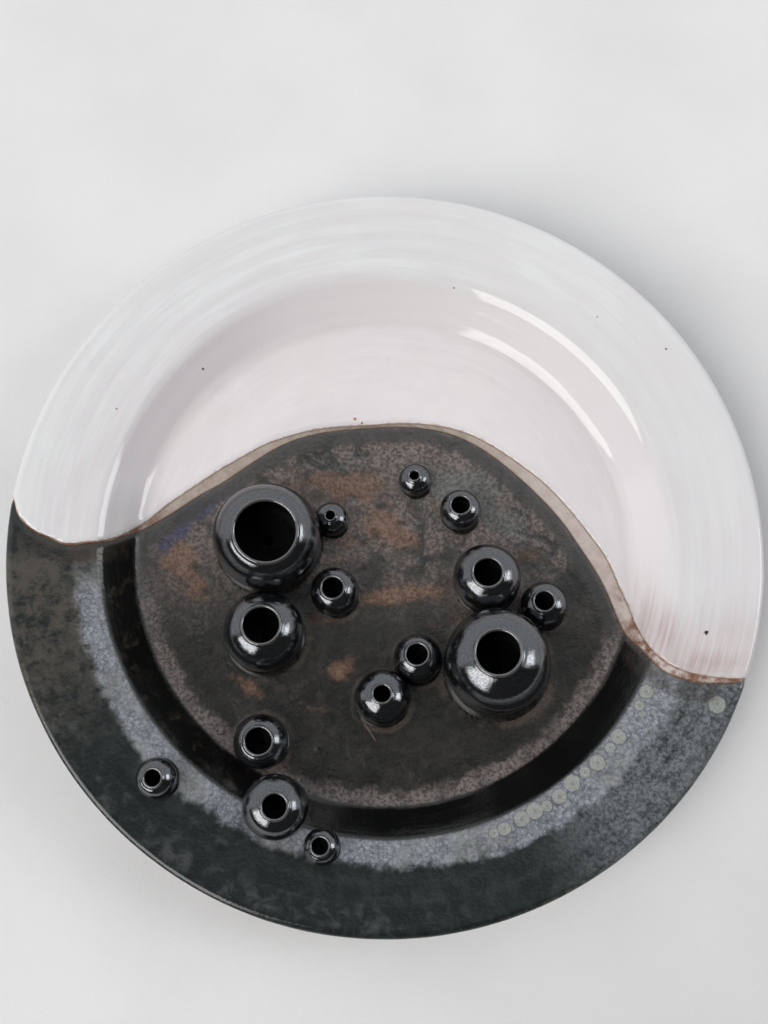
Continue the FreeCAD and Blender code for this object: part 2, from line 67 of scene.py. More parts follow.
# ------------------------------------------------------------------- noise
class Noise:
    """Seeded gradient noise on a lattice, for arrays."""

    def __init__(self, seed):
        rng = np.random.RandomState(seed)
        self.perm = rng.permutation(256)
        g = rng.normal(size=(256, 3))
        self.grad = g / np.linalg.norm(g, axis=1)[:, None]

    def __call__(self, x, y, z=0.0):
        x, y, z = np.broadcast_arrays(np.asarray(x, float), np.asarray(y, float),
                                      np.asarray(z, float))
        xi, yi, zi = (np.floor(v).astype(int) for v in (x, y, z))
        xf, yf, zf = x - xi, y - yi, z - zi
        fade = [t * t * t * (t * (t * 6 - 15) + 10) for t in (xf, yf, zf)]
        out = np.zeros(x.shape)
        for a in (0, 1):
            for b in (0, 1):
                for c in (0, 1):
                    h = self.perm[(self.perm[(self.perm[(xi + a) & 255] + yi + b) & 255]
                                   + zi + c) & 255]
                    g = self.grad[h]
                    dot = g[..., 0] * (xf - a) + g[..., 1] * (yf - b) + g[..., 2] * (zf - c)
                    w = ((fade[0] if a else 1 - fade[0]) * (fade[1] if b else 1 - fade[1])
                         * (fade[2] if c else 1 - fade[2]))
                    out += w * dot
        return out * 1.6


N1, N2, N3, N4 = Noise(11), Noise(23), Noise(37), Noise(53)


def smooth(x, lo, hi):
    t = np.clip((np.asarray(x, float) - lo) / (hi - lo), 0, 1)
    return t * t * (3 - 2 * t)


def bump_at(x, lo, hi, soft):
    return smooth(x, lo - soft, lo + soft) * (1 - smooth(x, hi - soft, hi + soft))


# --------------------------------------------------- the outline of the dish
rad = math.radians
ZF, R1, RC1, WALL = 12.4, 106.2, 9.5, rad(46)
RC2, FLANGE, RL, ROUT, LZ = 9.5, rad(5), 2.8, 165.0, 28.9
GLAZE, BASE, OWALL, RO2, WIPE = 0.6, 5.0, rad(48), 16.0, 108.5
LX = ROUT - RL
C1 = (R1, ZF + RC1)
RB = ZF + RC1 - BASE
P2 = (R1 + RC1 * math.sin(WALL), C1[1] - RC1 * math.cos(WALL))
P5 = (LX - RL * math.sin(FLANGE), LZ + RL * math.cos(FLANGE))


def meet(p, a, q, b):
    den = math.cos(a) * math.sin(b) - math.sin(a) * math.cos(b)
    k = ((q[0] - p[0]) * math.sin(b) - (q[1] - p[1]) * math.cos(b)) / den
    return (p[0] + k * math.cos(a), p[1] + k * math.sin(a))


M2 = meet(P2, WALL, P5, FLANGE)
TL = RC2 * math.tan((WALL - FLANGE) / 2)
P3 = (M2[0] - TL * math.cos(WALL), M2[1] - TL * math.sin(WALL))
P4 = (M2[0] + TL * math.cos(FLANGE), M2[1] + TL * math.sin(FLANGE))
C2 = (P3[0] + RC2 * math.sin(WALL), P3[1] - RC2 * math.cos(WALL))
Q2 = (R1 + RB * math.sin(OWALL), C1[1] - RB * math.cos(OWALL))
Q5 = (LX + (RL - GLAZE) * math.sin(FLANGE), LZ - (RL - GLAZE) * math.cos(FLANGE))
M3 = meet(Q2, OWALL, Q5, FLANGE)
TL3 = RO2 * math.tan((OWALL - FLANGE) / 2)
U1 = (M3[0] - TL3 * math.cos(OWALL), M3[1] - TL3 * math.sin(OWALL))
U2 = (M3[0] + TL3 * math.cos(FLANGE), M3[1] + TL3 * math.sin(FLANGE))
C3 = (U1[0] + RO2 * math.sin(OWALL), U1[1] - RO2 * math.cos(OWALL))

table, starts, step_of = [], [], []


def run(points, normals, row_step):
    starts.append((len(table), row_step))
    for p, n in zip(points, normals):
        table.append((p[0], p[1], n[0], n[1]))


def line(p, q, n, row_step):
    k = max(2, int(math.dist(p, q) / 0.05))
    t = np.linspace(0, 1, k, endpoint=False)
    run([(p[0] + (q[0] - p[0]) * u, p[1] + (q[1] - p[1]) * u) for u in t], [n] * k, row_step)


def arc(c, rr, t0, t1, side, row_step):
    """Arc whose outward normal at angle t is (-sin t, cos t) times side."""
    k = max(2, int(abs(t1 - t0) * rr / 0.05))
    ts = np.linspace(t0, t1, k, endpoint=False)
    hollow = 1 if side == "hollow" else -1
    pts, nor = [], []
    for t in ts:
        nx, nz = -math.sin(t), math.cos(t)
        pts.append((c[0] - hollow * rr * nx, c[1] - hollow * rr * nz))
        nor.append((nx, nz))
    run(pts, nor, row_step)


line((0.0, ZF), (R1, ZF), (0.0, 1.0), 0.80)
arc(C1, RC1, 0.0, WALL, "hollow", 0.60)
line(P2, P3, (-math.sin(WALL), math.cos(WALL)), 0.72)
arc(C2, RC2, WALL, FLANGE, "round", 0.55)
line(P4, P5, (-math.sin(FLANGE), math.cos(FLANGE)), 0.78)
arc((LX, LZ), RL, FLANGE, -math.pi / 2, "round", 0.33)
lip_index = len(table)
arc((LX, LZ), RL, -math.pi / 2, FLANGE - math.pi, "round", 0.33)
# underside: the glazed face, 0.6 outside the clay
L5 = (LX + RL * math.sin(FLANGE), LZ - RL * math.cos(FLANGE))
V2 = (C3[0] - (RO2 - GLAZE) * math.sin(FLANGE), C3[1] + (RO2 - GLAZE) * math.cos(FLANGE))
V1 = (C3[0] - (RO2 - GLAZE) * math.sin(OWALL), C3[1] + (RO2 - GLAZE) * math.cos(OWALL))
W2 = (R1 + (RB + GLAZE) * math.sin(OWALL), C1[1] - (RB + GLAZE) * math.cos(OWALL))
line(L5, V2, (math.sin(FLANGE), -math.cos(FLANGE)), 1.5)
arc(C3, RO2 - GLAZE, FLANGE + math.pi, OWALL + math.pi, "hollow", 1.1)
line(V1, W2, (math.sin(OWALL), -math.cos(OWALL)), 1.4)
wipe_t = math.asin((WIPE - R1) / (RB + GLAZE))
arc(C1, RB + GLAZE, OWALL + math.pi, wipe_t + math.pi, "round", 1.0)
wipe_index = len(table)
arc(C1, RB + GLAZE, wipe_t + math.pi, math.pi, "round", 1.0)
line((R1, BASE - GLAZE), (0.0, BASE - GLAZE), (0.0, -1.0), 1.3)
table.append((0.0, BASE - GLAZE, 0.0, -1.0))
TABLE = np.array(table)
S_AT = np.r_[0, np.cumsum(np.hypot(*np.diff(TABLE[:, :2], axis=0).T))]
S_LIP, S_WIPE, S_END = S_AT[lip_index], S_AT[wipe_index], S_AT[-1]


def on_outline(s):
    r = np.interp(s, S_AT, TABLE[:, 0])
    z = np.interp(s, S_AT, TABLE[:, 1])
    nr = np.interp(s, S_AT, TABLE[:, 2])
    nz = np.interp(s, S_AT, TABLE[:, 3])
    k = np.hypot(nr, nz)
    return r, z, nr / k, nz / k


def row_places(s_end, coarse=1.0):
    rows = []
    for i, (at, row_step) in enumerate(starts):
        a = S_AT[at]
        b = S_AT[starts[i + 1][0]] if i + 1 < len(starts) else S_END
        if a >= s_end - 1e-6:
            break
        n = max(1, int(round((b - a) / (row_step * coarse))))
        rows += list(np.linspace(a, b, n, endpoint=False))
    rows.append(s_end)
    return np.array(rows)


def top_height(r):
    """Height of the undisturbed glazed face at radius r."""
    return float(np.interp(r, TABLE[:lip_index, 0], TABLE[:lip_index, 1]))


# ------------------------------------------------------- the two pour lines
BLACK_EDGE = [(-172.0, 34.0), (-165.4, 23.0), (-162.4, 18.0), (-161.4, 14.6), (-157.9, 9.5),
              (-152.4, 5.4), (-146.2, 2.8), (-140.8, 0.5), (-135.5, 0.3), (-129.4, 1.2),
              (-123.6, 2.2), (-115.9, 6.6), (-107.9, 11.3), (-99.9, 16.1), (-91.0, 22.0),
              (-82.0, 28.0), (-75.2, 31.8), (-68.4, 36.5), (-61.6, 41.4), (-50.1, 48.8),
              (-42.0, 52.7), (-33.9, 55.3), (-25.8, 56.9), (-13.1, 58.3), (-1.3, 59.1),
              (8.8, 59.2), (20.1, 58.2), (31.4, 55.3), (40.4, 51.1), (53.8, 41.6), (67.0, 29.4),
              (77.9, 17.3), (88.6, 1.4), (93.5, -6.5), (96.5, -12.0), (101.2, -23.4),
              (103.9, -31.0), (106.5, -37.5), (110.6, -43.1), (114.3, -49.2), (119.3, -54.2),
              (125.6, -57.0), (131.9, -58.8), (139.1, -59.6), (146.4, -59.4), (156.0, -59.2),
              (172.0, -58.6)]
WHITE_EDGE = [(-172.0, 34.8), (-165.4, 23.6), (-162.4, 18.7), (-161.2, 15.1), (-157.6, 10.0),
              (-152.1, 5.9), (-145.9, 3.3), (-140.6, 1.1), (-135.5, 1.0), (-129.4, 1.8),
              (-123.8, 2.8), (-116.0, 7.3), (-109.6, 12.6), (-102.3, 19.0), (-93.4, 26.0),
              (-84.4, 32.3), (-76.5, 37.9), (-67.4, 43.5), (-59.4, 48.3), (-52.5, 51.8),
              (-44.4, 54.6), (-36.3, 56.9), (-27.0, 58.6), (-13.1, 59.7), (-1.3, 60.5),
              (11.0, 61.0), (20.1, 60.3), (31.4, 58.3), (40.4, 55.0), (48.3, 50.8), (56.1, 45.6),
              (65.0, 38.9), (73.8, 31.3), (80.4, 24.1), (86.8, 16.1), (93.3, 7.3), (99.6, -2.6),
              (103.2, -11.4), (106.7, -20.3), (108.9, -28.1), (110.3, -33.4), (112.3, -39.1),
              (115.4, -45.4), (121.3, -50.9), (127.5, -54.0), (134.8, -56.1), (143.8, -57.4),
              (156.0, -57.6), (172.0, -57.0)]


def spline(points, gap=0.5):
    """Natural cubic through the points, resampled about every gap mm."""
    p = np.array(points, float)
    t = np.r_[0, np.cumsum(np.hypot(*np.diff(p, axis=0).T))]
    n = len(t)
    h = np.diff(t)
    a = np.zeros((n, n))
    rhs = np.zeros((n, 2))
    a[0, 0] = a[-1, -1] = 1
    for i in range(1, n - 1):
        a[i, i - 1], a[i, i], a[i, i + 1] = h[i - 1], 2 * (h[i - 1] + h[i]), h[i]
        rhs[i] = 6 * ((p[i + 1] - p[i]) / h[i] - (p[i] - p[i - 1]) / h[i - 1])
    m = np.linalg.solve(a, rhs)
    out = []
    for i in range(n - 1):
        for u in np.linspace(0, 1, max(2, int(h[i] / gap)), endpoint=False):
            x = u * h[i]
            out.append(m[i] * (h[i] - x) ** 3 / (6 * h[i]) + m[i + 1] * x ** 3 / (6 * h[i])
                       + (p[i] / h[i] - m[i] * h[i] / 6) * (h[i] - x)
                       + (p[i + 1] / h[i] - m[i + 1] * h[i] / 6) * x)
    out.append(p[-1])
    return np.array(out)


def signed_distance(x, y, curve):
    """Distance to the curve, above it positive."""
    out = np.empty(len(x))
    d0, d1 = curve[:-1], curve[1:]
    e = d1 - d0
    ee = (e ** 2).sum(1)
    for a in range(0, len(x), 6000):
        px, py = x[a:a + 6000], y[a:a + 6000]
        q = (px[:, None] - curve[None, :, 0]) ** 2 + (py[:, None] - curve[None, :, 1]) ** 2
        k = q.argmin(1)
        best = np.full(len(px), 1e18)
        for off in (-1, 0):
            j = np.clip(k + off, 0, len(e) - 1)
            u = np.clip(((px - d0[j, 0]) * e[j, 0] + (py - d0[j, 1]) * e[j, 1]) / ee[j], 0, 1)
            dx, dy = px - d0[j, 0] - u * e[j, 0], py - d0[j, 1] - u * e[j, 1]
            best = np.minimum(best, dx * dx + dy * dy)
        out[a:a + 6000] = np.sqrt(best)
    side = np.sign(y - np.interp(x, curve[:, 0], curve[:, 1]))
    return out * np.where(side == 0, 1, side)


BLACK_CURVE, WHITE_CURVE = spline(BLACK_EDGE), spline(WHITE_EDGE)

# ------------------------------------------------------------------ the cups
# belly radius, mouth radius, x, y, lean, bearing, wall, lip width, inside
# floor, seat slope, ring reach, lift
CUPS = [
    (23.50, 12.90, -52.00, 4.05, 4.0, -74.0, 2.1, 1.55, 3.4, 0.0, 1.12, 0.0),
    (7.58, 2.00, -24.20, 14.60, 6.0, 143.0, 1.6, 0.90, 2.3, 0.0, 1.12, 0.0),
    (10.68, 4.55, -22.60, -18.50, 5.6, 154.0, 1.7, 1.05, 2.5, 0.0, 1.12, 0.0),
    (17.45, 7.65, -53.10, -36.90, 3.7, 101.0, 2.0, 1.35, 3.0, 0.0, 1.10, 0.0),
    (7.28, 2.10, 13.10, 32.80, 8.0, 128.0, 1.6, 0.90, 2.3, 0.0, 1.14, 0.0),
    (9.15, 4.00, 33.30, 18.70, 7.0, 118.0, 1.6, 1.00, 2.4, 0.0, 1.12, 0.0),
    (14.85, 6.00, 44.30, -12.70, 3.1, 148.0, 1.9, 1.25, 2.8, 0.0, 1.06, 0.0),
    (10.30, 4.10, 69.50, -24.30, 7.0, 144.0, 1.7, 1.05, 2.5, 0.0, 1.04, 0.0),
    (22.85, 9.15, 47.70, -50.00, 6.0, 131.0, 2.1, 1.50, 3.4, 0.0, 1.12, 0.0),
    (10.60, 4.50, 13.77, -47.90, 7.0, 122.0, 1.7, 1.05, 2.5, 0.0, 1.12, 0.0),
    (12.00, 3.60, -1.57, -64.90, 3.9, 114.0, 1.8, 1.10, 2.6, 0.0, 1.12, 0.0),
    (11.75, 5.55, -53.70, -83.80, 3.6, -137.0, 1.8, 1.10, 2.8, 0.0, 1.10, 0.0),
    (8.60, 3.40, -95.60, -99.90, 6.0, -162.0, 1.7, 1.00, 2.6, 5.0, 1.12, 0.0),
    (13.65, 4.95, -46.30, -111.60, 2.3, -4.0, 1.9, 1.20, 5.4, 20.0, 1.08, 1.2),
    (7.60, 3.45, -26.80, -127.60, 5.5, 161.0, 1.6, 0.95, 2.6, 10.0, 1.10, 0.0),
]


class Cup:
    def __init__(self, number, row):
        (self.a, self.m, self.x, self.y, lean, bearing, self.wall, self.lw, self.inside,
         self.slope, self.reach, self.lift) = row
        self.number = number
        self.rho, self.w, self.c = 0.8 * self.a, 0.2 * self.a, 0.742 * self.a
        self.contact = self.w + math.sqrt(self.rho ** 2 - self.c ** 2)
        lean, bearing = rad(lean), rad(bearing)
        self.axis = np.array([math.sin(lean) * math.cos(bearing),
                              math.sin(lean) * math.sin(bearing), math.cos(lean)])
        z = top_height(math.hypot(self.x, self.y)) + self.c + self.lift
        self.belly = np.array([self.x, self.y, z])
        self.seat = self.belly - self.axis * self.c
        u = np.cross([0.0, 1.0, 0.0], self.axis)
        self.u = u / np.linalg.norm(u)
        self.v = np.cross(self.axis, self.u)
        # the roll is faired out, so its last edge is feathered inside the CAD ring
        self.edge = self.a * (1 + (self.reach - 1) * 0.62)


cups = [Cup(i, row) for i, row in enumerate(CUPS, 1)]

# small marks in the black coat: x, y, radius, height
DIMPLES = [(-4.3, 8.1, 2.7, -0.42), (-14.3, 25.6, 2.4, -0.34), (-8.8, -7.9, 2.6, -0.36),
           (0.2, -4.2, 2.2, -0.24), (-24.4, 29.0, 1.9, -0.20), (5.0, 1.0, 2.4, -0.22),
           (11.0, 5.5, 2.0, -0.18), (-3.0, 17.0, 2.2, -0.18), (9.0, 14.0, 2.0, -0.16),
           (-83.0, -6.5, 2.4, -0.22), (-79.0, -17.5, 2.6, -0.20), (-62.5, -62.0, 2.0, -0.16),
           (16.5, 11.0, 1.8, -0.15), (-9.0, 3.0, 1.8, -0.18), (2.0, -11.0, 2.2, -0.16),
           (26.0, -2.0, 2.4, -0.14), (-33.0, -6.0, 2.4, -0.15), (-69.0, 21.0, 2.4, -0.18),
           (48.0, 22.0, 2.2, -0.12), (61.0, 8.0, 2.4, -0.12), (-75.0, -44.0, 2.2, -0.14)]
PIMPLES = [(-83.6, -25.2, 0.95, 0.30), (-83.4, -31.9, 0.9, 0.28), (-40.7, -50.8, 0.85, 0.28),
           (-28.4, -49.5, 1.1, 0.38), (-19.5, -64.8, 0.8, 0.24), (-22.9, -78.3, 1.1, 0.34),
           (-29.4, -85.6, 1.2, 0.40), (-68.7, -126.2, 1.3, 0.42), (-108.6, -107.9, 1.1, 0.26),
           (-40.6, 38.2, 1.0, 0.30), (-21.3, 2.1, 0.8, 0.24), (-21.3, -3.8, 0.8, 0.22),
           (-46.0, -66.0, 0.8, 0.22), (27.5, -99.5, 0.9, 0.26), (-12.5, 35.0, 0.8, 0.22),
           (-131.0, -58.5, 1.0, 0.30), (7.2, -22.0, 0.7, 0.2), (61.0, -83.0, 0.8, 0.2),
           (-80.0, -118.5, 0.9, 0.22), (88.0, -45.0, 0.8, 0.18), (-5.5, -95.0, 0.8, 0.2),
           (33.0, 37.0, 0.8, 0.2), (44.5, 8.3, 0.7, 0.2), (-61.0, -92.0, 0.8, 0.2)]


def throwing(s, th, x, y):
    """Concentric marks of the fingers and the rib, a shallow spiral."""
    drift = 0.7 * N2(x / 38.0, y / 38.0, 3.1)
    amp = 0.6 + 0.7 * N3(x / 55.0, y / 55.0, 9.0)
    broad = np.sin(TAU * (s / 8.6 + th / TAU) + 2.2 * drift)
    fine = np.sin(TAU * (s / 2.9 + th / TAU) + 3.5 * drift)
    return amp * (0.034 * broad + 0.012 * fine)


def body_wave(s, th, x, y):
    low = 0.16 * N1(x / 75.0, y / 75.0, 0.3) + 0.10 * np.sin(2 * th + 0.6) * smooth(s, 90, 170)
    return low + throwing(s, th, x, y) * 0.8


def coat(d, rest):
    """Thickness of a coat at distance d inside its edge."""
    return 0.09 + (rest - 0.09) * smooth(d, -0.15, 1.7)


def marks(x, y, cut=1.0):
    h = np.zeros(len(x))
    for mx, my, mr, mh in DIMPLES:
        near = (np.abs(x - mx) < 4 * mr) & (np.abs(y - my) < 4 * mr)
        q = np.hypot(x[near] - mx, (y[near] - my) * 1.12)
        h[near] += mh * np.exp(-(q / mr) ** 2) - 0.22 * mh * np.exp(-((q - 1.7 * mr) / (0.6 * mr)) ** 2)
    for mx, my, mr, mh in PIMPLES:
        near = (np.abs(x - mx) < 4 * mr) & (np.abs(y - my) < 4 * mr)
        q = np.hypot(x[near] - mx, y[near] - my)
        h[near] += mh * np.exp(-(q / mr) ** 2)
    return h * cut


# -------------------------------------------------------------- mesh helpers
def new_object(name, verts, faces, attrs=None, smooth_shade=True):
    mesh = bpy.data.meshes.new(name)
    mesh.from_pydata((np.asarray(verts, float) * 0.001).tolist(), [], faces)
    mesh.update()
    if smooth_shade:
        mesh.polygons.foreach_set("use_smooth", np.ones(len(mesh.polygons), bool))
    for key, values in (attrs or {}).items():
        layer = mesh.attributes.new(key, "FLOAT", "POINT")
        layer.data.foreach_set("value", np.asarray(values, np.float32))
    ob = bpy.data.objects.new(name, mesh)
    bpy.context.scene.collection.objects.link(ob)
    return ob


def stitch(a0, na, b0, nb):
    """Faces between two rings of vertices, inner ring a, outer ring b."""
    if na == nb and na > 1:
        j = np.arange(na)
        k = (j + 1) % na
        return np.c_[a0 + j, b0 + j, b0 + k, a0 + k].tolist()
    if na == 1:
        j = np.arange(nb)
        return np.c_[np.full(nb, a0), b0 + j, b0 + (j + 1) % nb].tolist()
    if nb == 1:
        j = np.arange(na)
        return np.c_[a0 + j, np.full(na, b0), a0 + (j + 1) % na].tolist()
    if nb == 2 * na:
        j = np.arange(na)
        k = (j + 1) % na
        m, mm, e = 2 * j, 2 * j + 1, (2 * j + 2) % nb
        return (np.c_[a0 + j, b0 + m, b0 + mm].tolist() + np.c_[a0 + j, b0 + mm, a0 + k].tolist()
                + np.c_[a0 + k, b0 + mm, b0 + e].tolist())
    j = np.arange(nb)
    k = (j + 1) % nb
    m, mm, e = 2 * j, 2 * j + 1, (2 * j + 2) % na
    return (np.c_[a0 + m, b0 + j, a0 + mm].tolist() + np.c_[a0 + mm, b0 + j, b0 + k].tolist()
            + np.c_[a0 + mm, b0 + k, a0 + e].tolist())


def columns(r, full):
    if r < 0.01:
        return 1
    n = full
    limit = 84.0
    while r < limit and n > 10:
        n //= 2
        limit /= 2
    return n


def polar_grid(rows, full):
    s_all, t_all, first, counts = [], [], [], []
    for s in rows:
        r = float(on_outline(s)[0])
        n = columns(r, full)
        first.append(sum(counts))
        counts.append(n)
        s_all.append(np.full(n, s))
        t_all.append(np.arange(n) * TAU / n)
    faces = []
    for i in range(len(rows) - 1):
        faces += stitch(first[i], counts[i], first[i + 1], counts[i + 1])
    return np.concatenate(s_all), np.concatenate(t_all), faces


def point_at(s, th, h):
    r, z, nr, nz = on_outline(s)
    rr = r + h * nr
    return np.c_[rr * np.cos(th), rr * np.sin(th), z + h * nz]


def plan(s, th):
    r = on_outline(s)[0]
    return r * np.cos(th), r * np.sin(th)


# --------------------------------------------------------------- fields
def lip_margin(th):
    """How far short of the widest line of the lip the black coat stops."""
    az = np.degrees(th) % 360
    shy = bump_at(az, 204, 250, 6) * 0.75 + bump_at(az, 296, 326, 8) * 0.25
    return -0.35 + shy + 0.16 * N4(az / 4.0, 2.5) + 0.10 * N4(az / 1.3, 7.5)


def ragged(x, y):
    return 0.10 * N2(x / 5.0, y / 5.0, 4.4) + 0.05 * N3(x / 1.9, y / 1.9, 1.2)


def black_pour(s, th):
    x, y = plan(s, th)
    d = -signed_distance(x, y, BLACK_CURVE) + ragged(x, y)
    return np.minimum(d, S_LIP - lip_margin(th) - s)


def white_pour(s, th):
    x, y = plan(s, th)
    d = signed_distance(x, y, WHITE_CURVE) + ragged(x + 40, y)
    return np.maximum(d, s - (S_LIP - lip_margin(th) + 0.10))


def seat_gap(x, y):
    """Distance outside the nearest luting ring, and that distance in belly radii."""
    best = np.full(len(x), 1e9)
    rel = np.full(len(x), 1e9)
    for c in cups:
        q = np.hypot(x - c.seat[0], y - c.seat[1])
        best = np.minimum(best, q - c.edge)
        rel = np.minimum(rel, (q - c.edge) / c.a)
    return best, rel


def clip(s, th, faces, field):
    """The part of the grid where the field is positive, cut on its zero line."""
    field = np.where(np.abs(field) < 0.07, 0.0, field)
    sign = np.sign(field).astype(int)
    u, v = s * np.cos(th), s * np.sin(th)
    extra, cut = [], {}
    keep = []
    n = len(s)
    sg = sign.tolist()
    for f in faces:
        lo = min(sg[i] for i in f)
        hi = max(sg[i] for i in f)
        if hi <= 0:
            continue
        if lo >= 0:
            keep.append(f)
            continue
        out = []
        m = len(f)
        for i in range(m):
            a, b = f[i], f[(i + 1) % m]
            if sg[a] >= 0:
                out.append(a)
            if sg[a] * sg[b] < 0:
                key = (a, b) if a < b else (b, a)
                if key not in cut:
                    fa, fb = field[key[0]], field[key[1]]
                    t = fa / (fa - fb)
                    cut[key] = n + len(extra)
                    extra.append((u[key[0]] + t * (u[key[1]] - u[key[0]]),
                                  v[key[0]] + t * (v[key[1]] - v[key[0]])))
                out.append(cut[key])
        if len(out) >= 3:
            keep.append(out)
    if extra:
        e = np.array(extra)
        u, v = np.r_[u, e[:, 0]], np.r_[v, e[:, 1]]
    used = np.zeros(len(u), bool)
    for f in keep:
        for i in f:
            used[i] = True
    index = np.cumsum(used) - 1
    idx = index.tolist()
    faces = [[idx[i] for i in f] for f in keep]
    u, v = u[used], v[used]
    return np.hypot(u, v), np.arctan2(v, u) % TAU, faces


def border(faces):
    seen = {}
    for f in faces:
        m = len(f)
        for i in range(m):
            a, b = f[i], f[(i + 1) % m]
            if (b, a) in seen:
                del seen[(b, a)]
            else:
                seen[(a, b)] = True
    return list(seen)


def in_polygon(px, py, ax, ay, bx, by):
    inside = np.zeros(len(px), bool)
    for a in range(0, len(px), 1500):
        x, y = px[a:a + 1500, None], py[a:a + 1500, None]
        hit = (ay[None] > y) != (by[None] > y)
        with np.errstate(divide="ignore", invalid="ignore"):
            xx = ax[None] + (y - ay[None]) * (bx[None] - ax[None]) / (by[None] - ay[None])
        inside[a:a + 1500] = ((hit & (x < xx)).sum(1) % 2).astype(bool)
    return inside


def closed_coat(name, s, th, faces, top_h, low_h, field_fn, attrs):
    """A coat with its outer face, its inner face on the clay and its rims."""
    edges = border(faces)
    rim = sorted({i for e in edges for i in e})
    pos = {i: k for k, i in enumerate(rim)}
    ru = [s[i] * math.cos(th[i]) for i in rim]
    rv = [s[i] * math.sin(th[i]) for i in rim]
    inner = []
    s_max = s.max()
    ring = 0.0
    while ring < s_max - 1.5:
        n = max(1, int(TAU * ring / 5.5))
        for j in range(n):
            inner.append((ring, (j + 0.5 * (int(ring) % 2)) * TAU / n))
        ring += 5.0 if ring < 100 else 2.2
    inner = np.array(inner)
    ok = field_fn(inner[:, 0], inner[:, 1]) > 1.2
    ok &= inner[:, 0] < s_max - 1.0
    inner = inner[ok]
    pts = [Vector((a, b)) for a, b in zip(ru, rv)]
    pts += [Vector((a * math.cos(b), a * math.sin(b))) for a, b in inner]
    cons = [(pos[a], pos[b]) for a, b in edges]
    res = delaunay_2d_cdt(pts, cons, [], 0, 1e-6, True)
    out_pts, out_faces, origin = res[0], res[2], res[3]
    n_top = len(s)
    low_s = np.r_[s[rim], inner[:, 0]]
    low_t = np.r_[th[rim], inner[:, 1]]
    back = []
    for o in origin:
        if not o:
            raise RuntimeError(name + ": the inner face needed a new point")
        back.append(min(o))
    q = np.array([[p[0], p[1]] for p in out_pts])
    tri = np.array(out_faces)
    cen = q[tri].mean(1)
    ea = np.array([[ru[pos[a]], rv[pos[a]], ru[pos[b]], rv[pos[b]]] for a, b in edges])
    inside = in_polygon(cen[:, 0], cen[:, 1], ea[:, 0], ea[:, 1], ea[:, 2], ea[:, 3])
    low_faces = [[n_top + back[i] for i in t][::-1] for t in tri[inside].tolist()]
    walls = [[b, a, n_top + pos[a], n_top + pos[b]] for a, b in edges]
    verts = np.vstack([point_at(s, th, top_h), point_at(low_s, low_t, low_h(low_s, low_t))])
    pad = {k: np.r_[v, v[rim], np.zeros(len(inner))] for k, v in attrs.items()}
    ob = new_object(name, verts, faces + low_faces + walls, pad)
    open_edges = len(border(faces + low_faces + walls))
    print(name, "vertices", len(verts), "faces", len(ob.data.polygons), "open edges", open_edges)
    return ob


# ----------------------------------------------------------- the two coats
def spots(x, y, rows):
    out = np.zeros(len(x))
    for cx, cy, rx, ry, turn, k in rows:
        c, sn = math.cos(rad(turn)), math.sin(rad(turn))
        dx, dy = x - cx, y - cy
        a, b = (dx * c + dy * sn) / rx, (-dx * sn + dy * c) / ry
        out += k * np.exp(-(a * a + b * b))
    return out


COPPER = [(-13.0, 31.0, 13, 7, 5, 1.0), (-30.0, 33.0, 9, 5, 20, 0.5), (-2.0, 13.0, 9, 8, 0, 0.85),
          (10.0, 6.0, 9, 6, 0, 0.6), (6.0, -18.5, 20, 4, 6, 0.95), (-92.0, -2.0, 7, 10, 20, 1.1),
          (-84.0, -16.0, 6, 8, 10, 0.5), (-59.4, -59.5, 7, 2.6, -35, 0.8),
          (-19.8, -52.6, 7, 5, 20, 0.7), (52.6, 18.8, 6, 5, 0, 0.5), (65.8, 0.2, 6, 5, 0, 0.45),
          (-26.0, -27.0, 8, 5, 0, 0.6), (-46.0, 30.0, 9, 5, 20, 0.35), (22.0, 20.0, 8, 6, 0, 0.35),
          (-66.0, 26.0, 7, 5, 20, 0.45), (30.0, -30.0, 12, 7, 0, 0.3), (-34.0, -66.0, 12, 8, 0, 0.25),
          (-20.0, 3.0, 9, 9, 0, 0.45), (93.0, -60.0, 8, 6, 40, 0.35)]
HAZE = [(14.0, 32.0, 16, 9, 0, 1.0), (38.0, 27.0, 16, 9, -30, 0.9), (57.0, 12.0, 13, 9, -45, 0.7),
        (-16.0, 41.0, 18, 5, 5, 0.55), (72.0, -6.0, 9, 8, -50, 0.35), (-8.0, 2.0, 10, 8, 0, 0.4),
        (-66.0, -12.0, 7, 5, 0, 0.55), (-84.0, -35.0, 5, 9, 15, 0.35), (20.0, 14.0, 14, 8, 0, 0.5),
        (-26.0, -51.0, 6, 4, 0, 0.3), (44.0, 36.0, 12, 6, -35, 0.5)]
COBALT = [(-92.0, 10.0, 7, 5, 35, 1.0), (-82.0, 21.0, 9, 5, 35, 0.9), (-66.0, 30.0, 8, 5, 35, 0.6),
          (-99.0, 3.0, 4, 5, 35, 0.8), (-150.0, -4.5, 11, 3.0, 15, 0.7), (-134.0, -8.0, 7, 3.0, 5, 0.5),
          (-88.0, -22.0, 4, 6, 0, 0.35), (100.0, -38.0, 5, 5, 0, 0.25)]
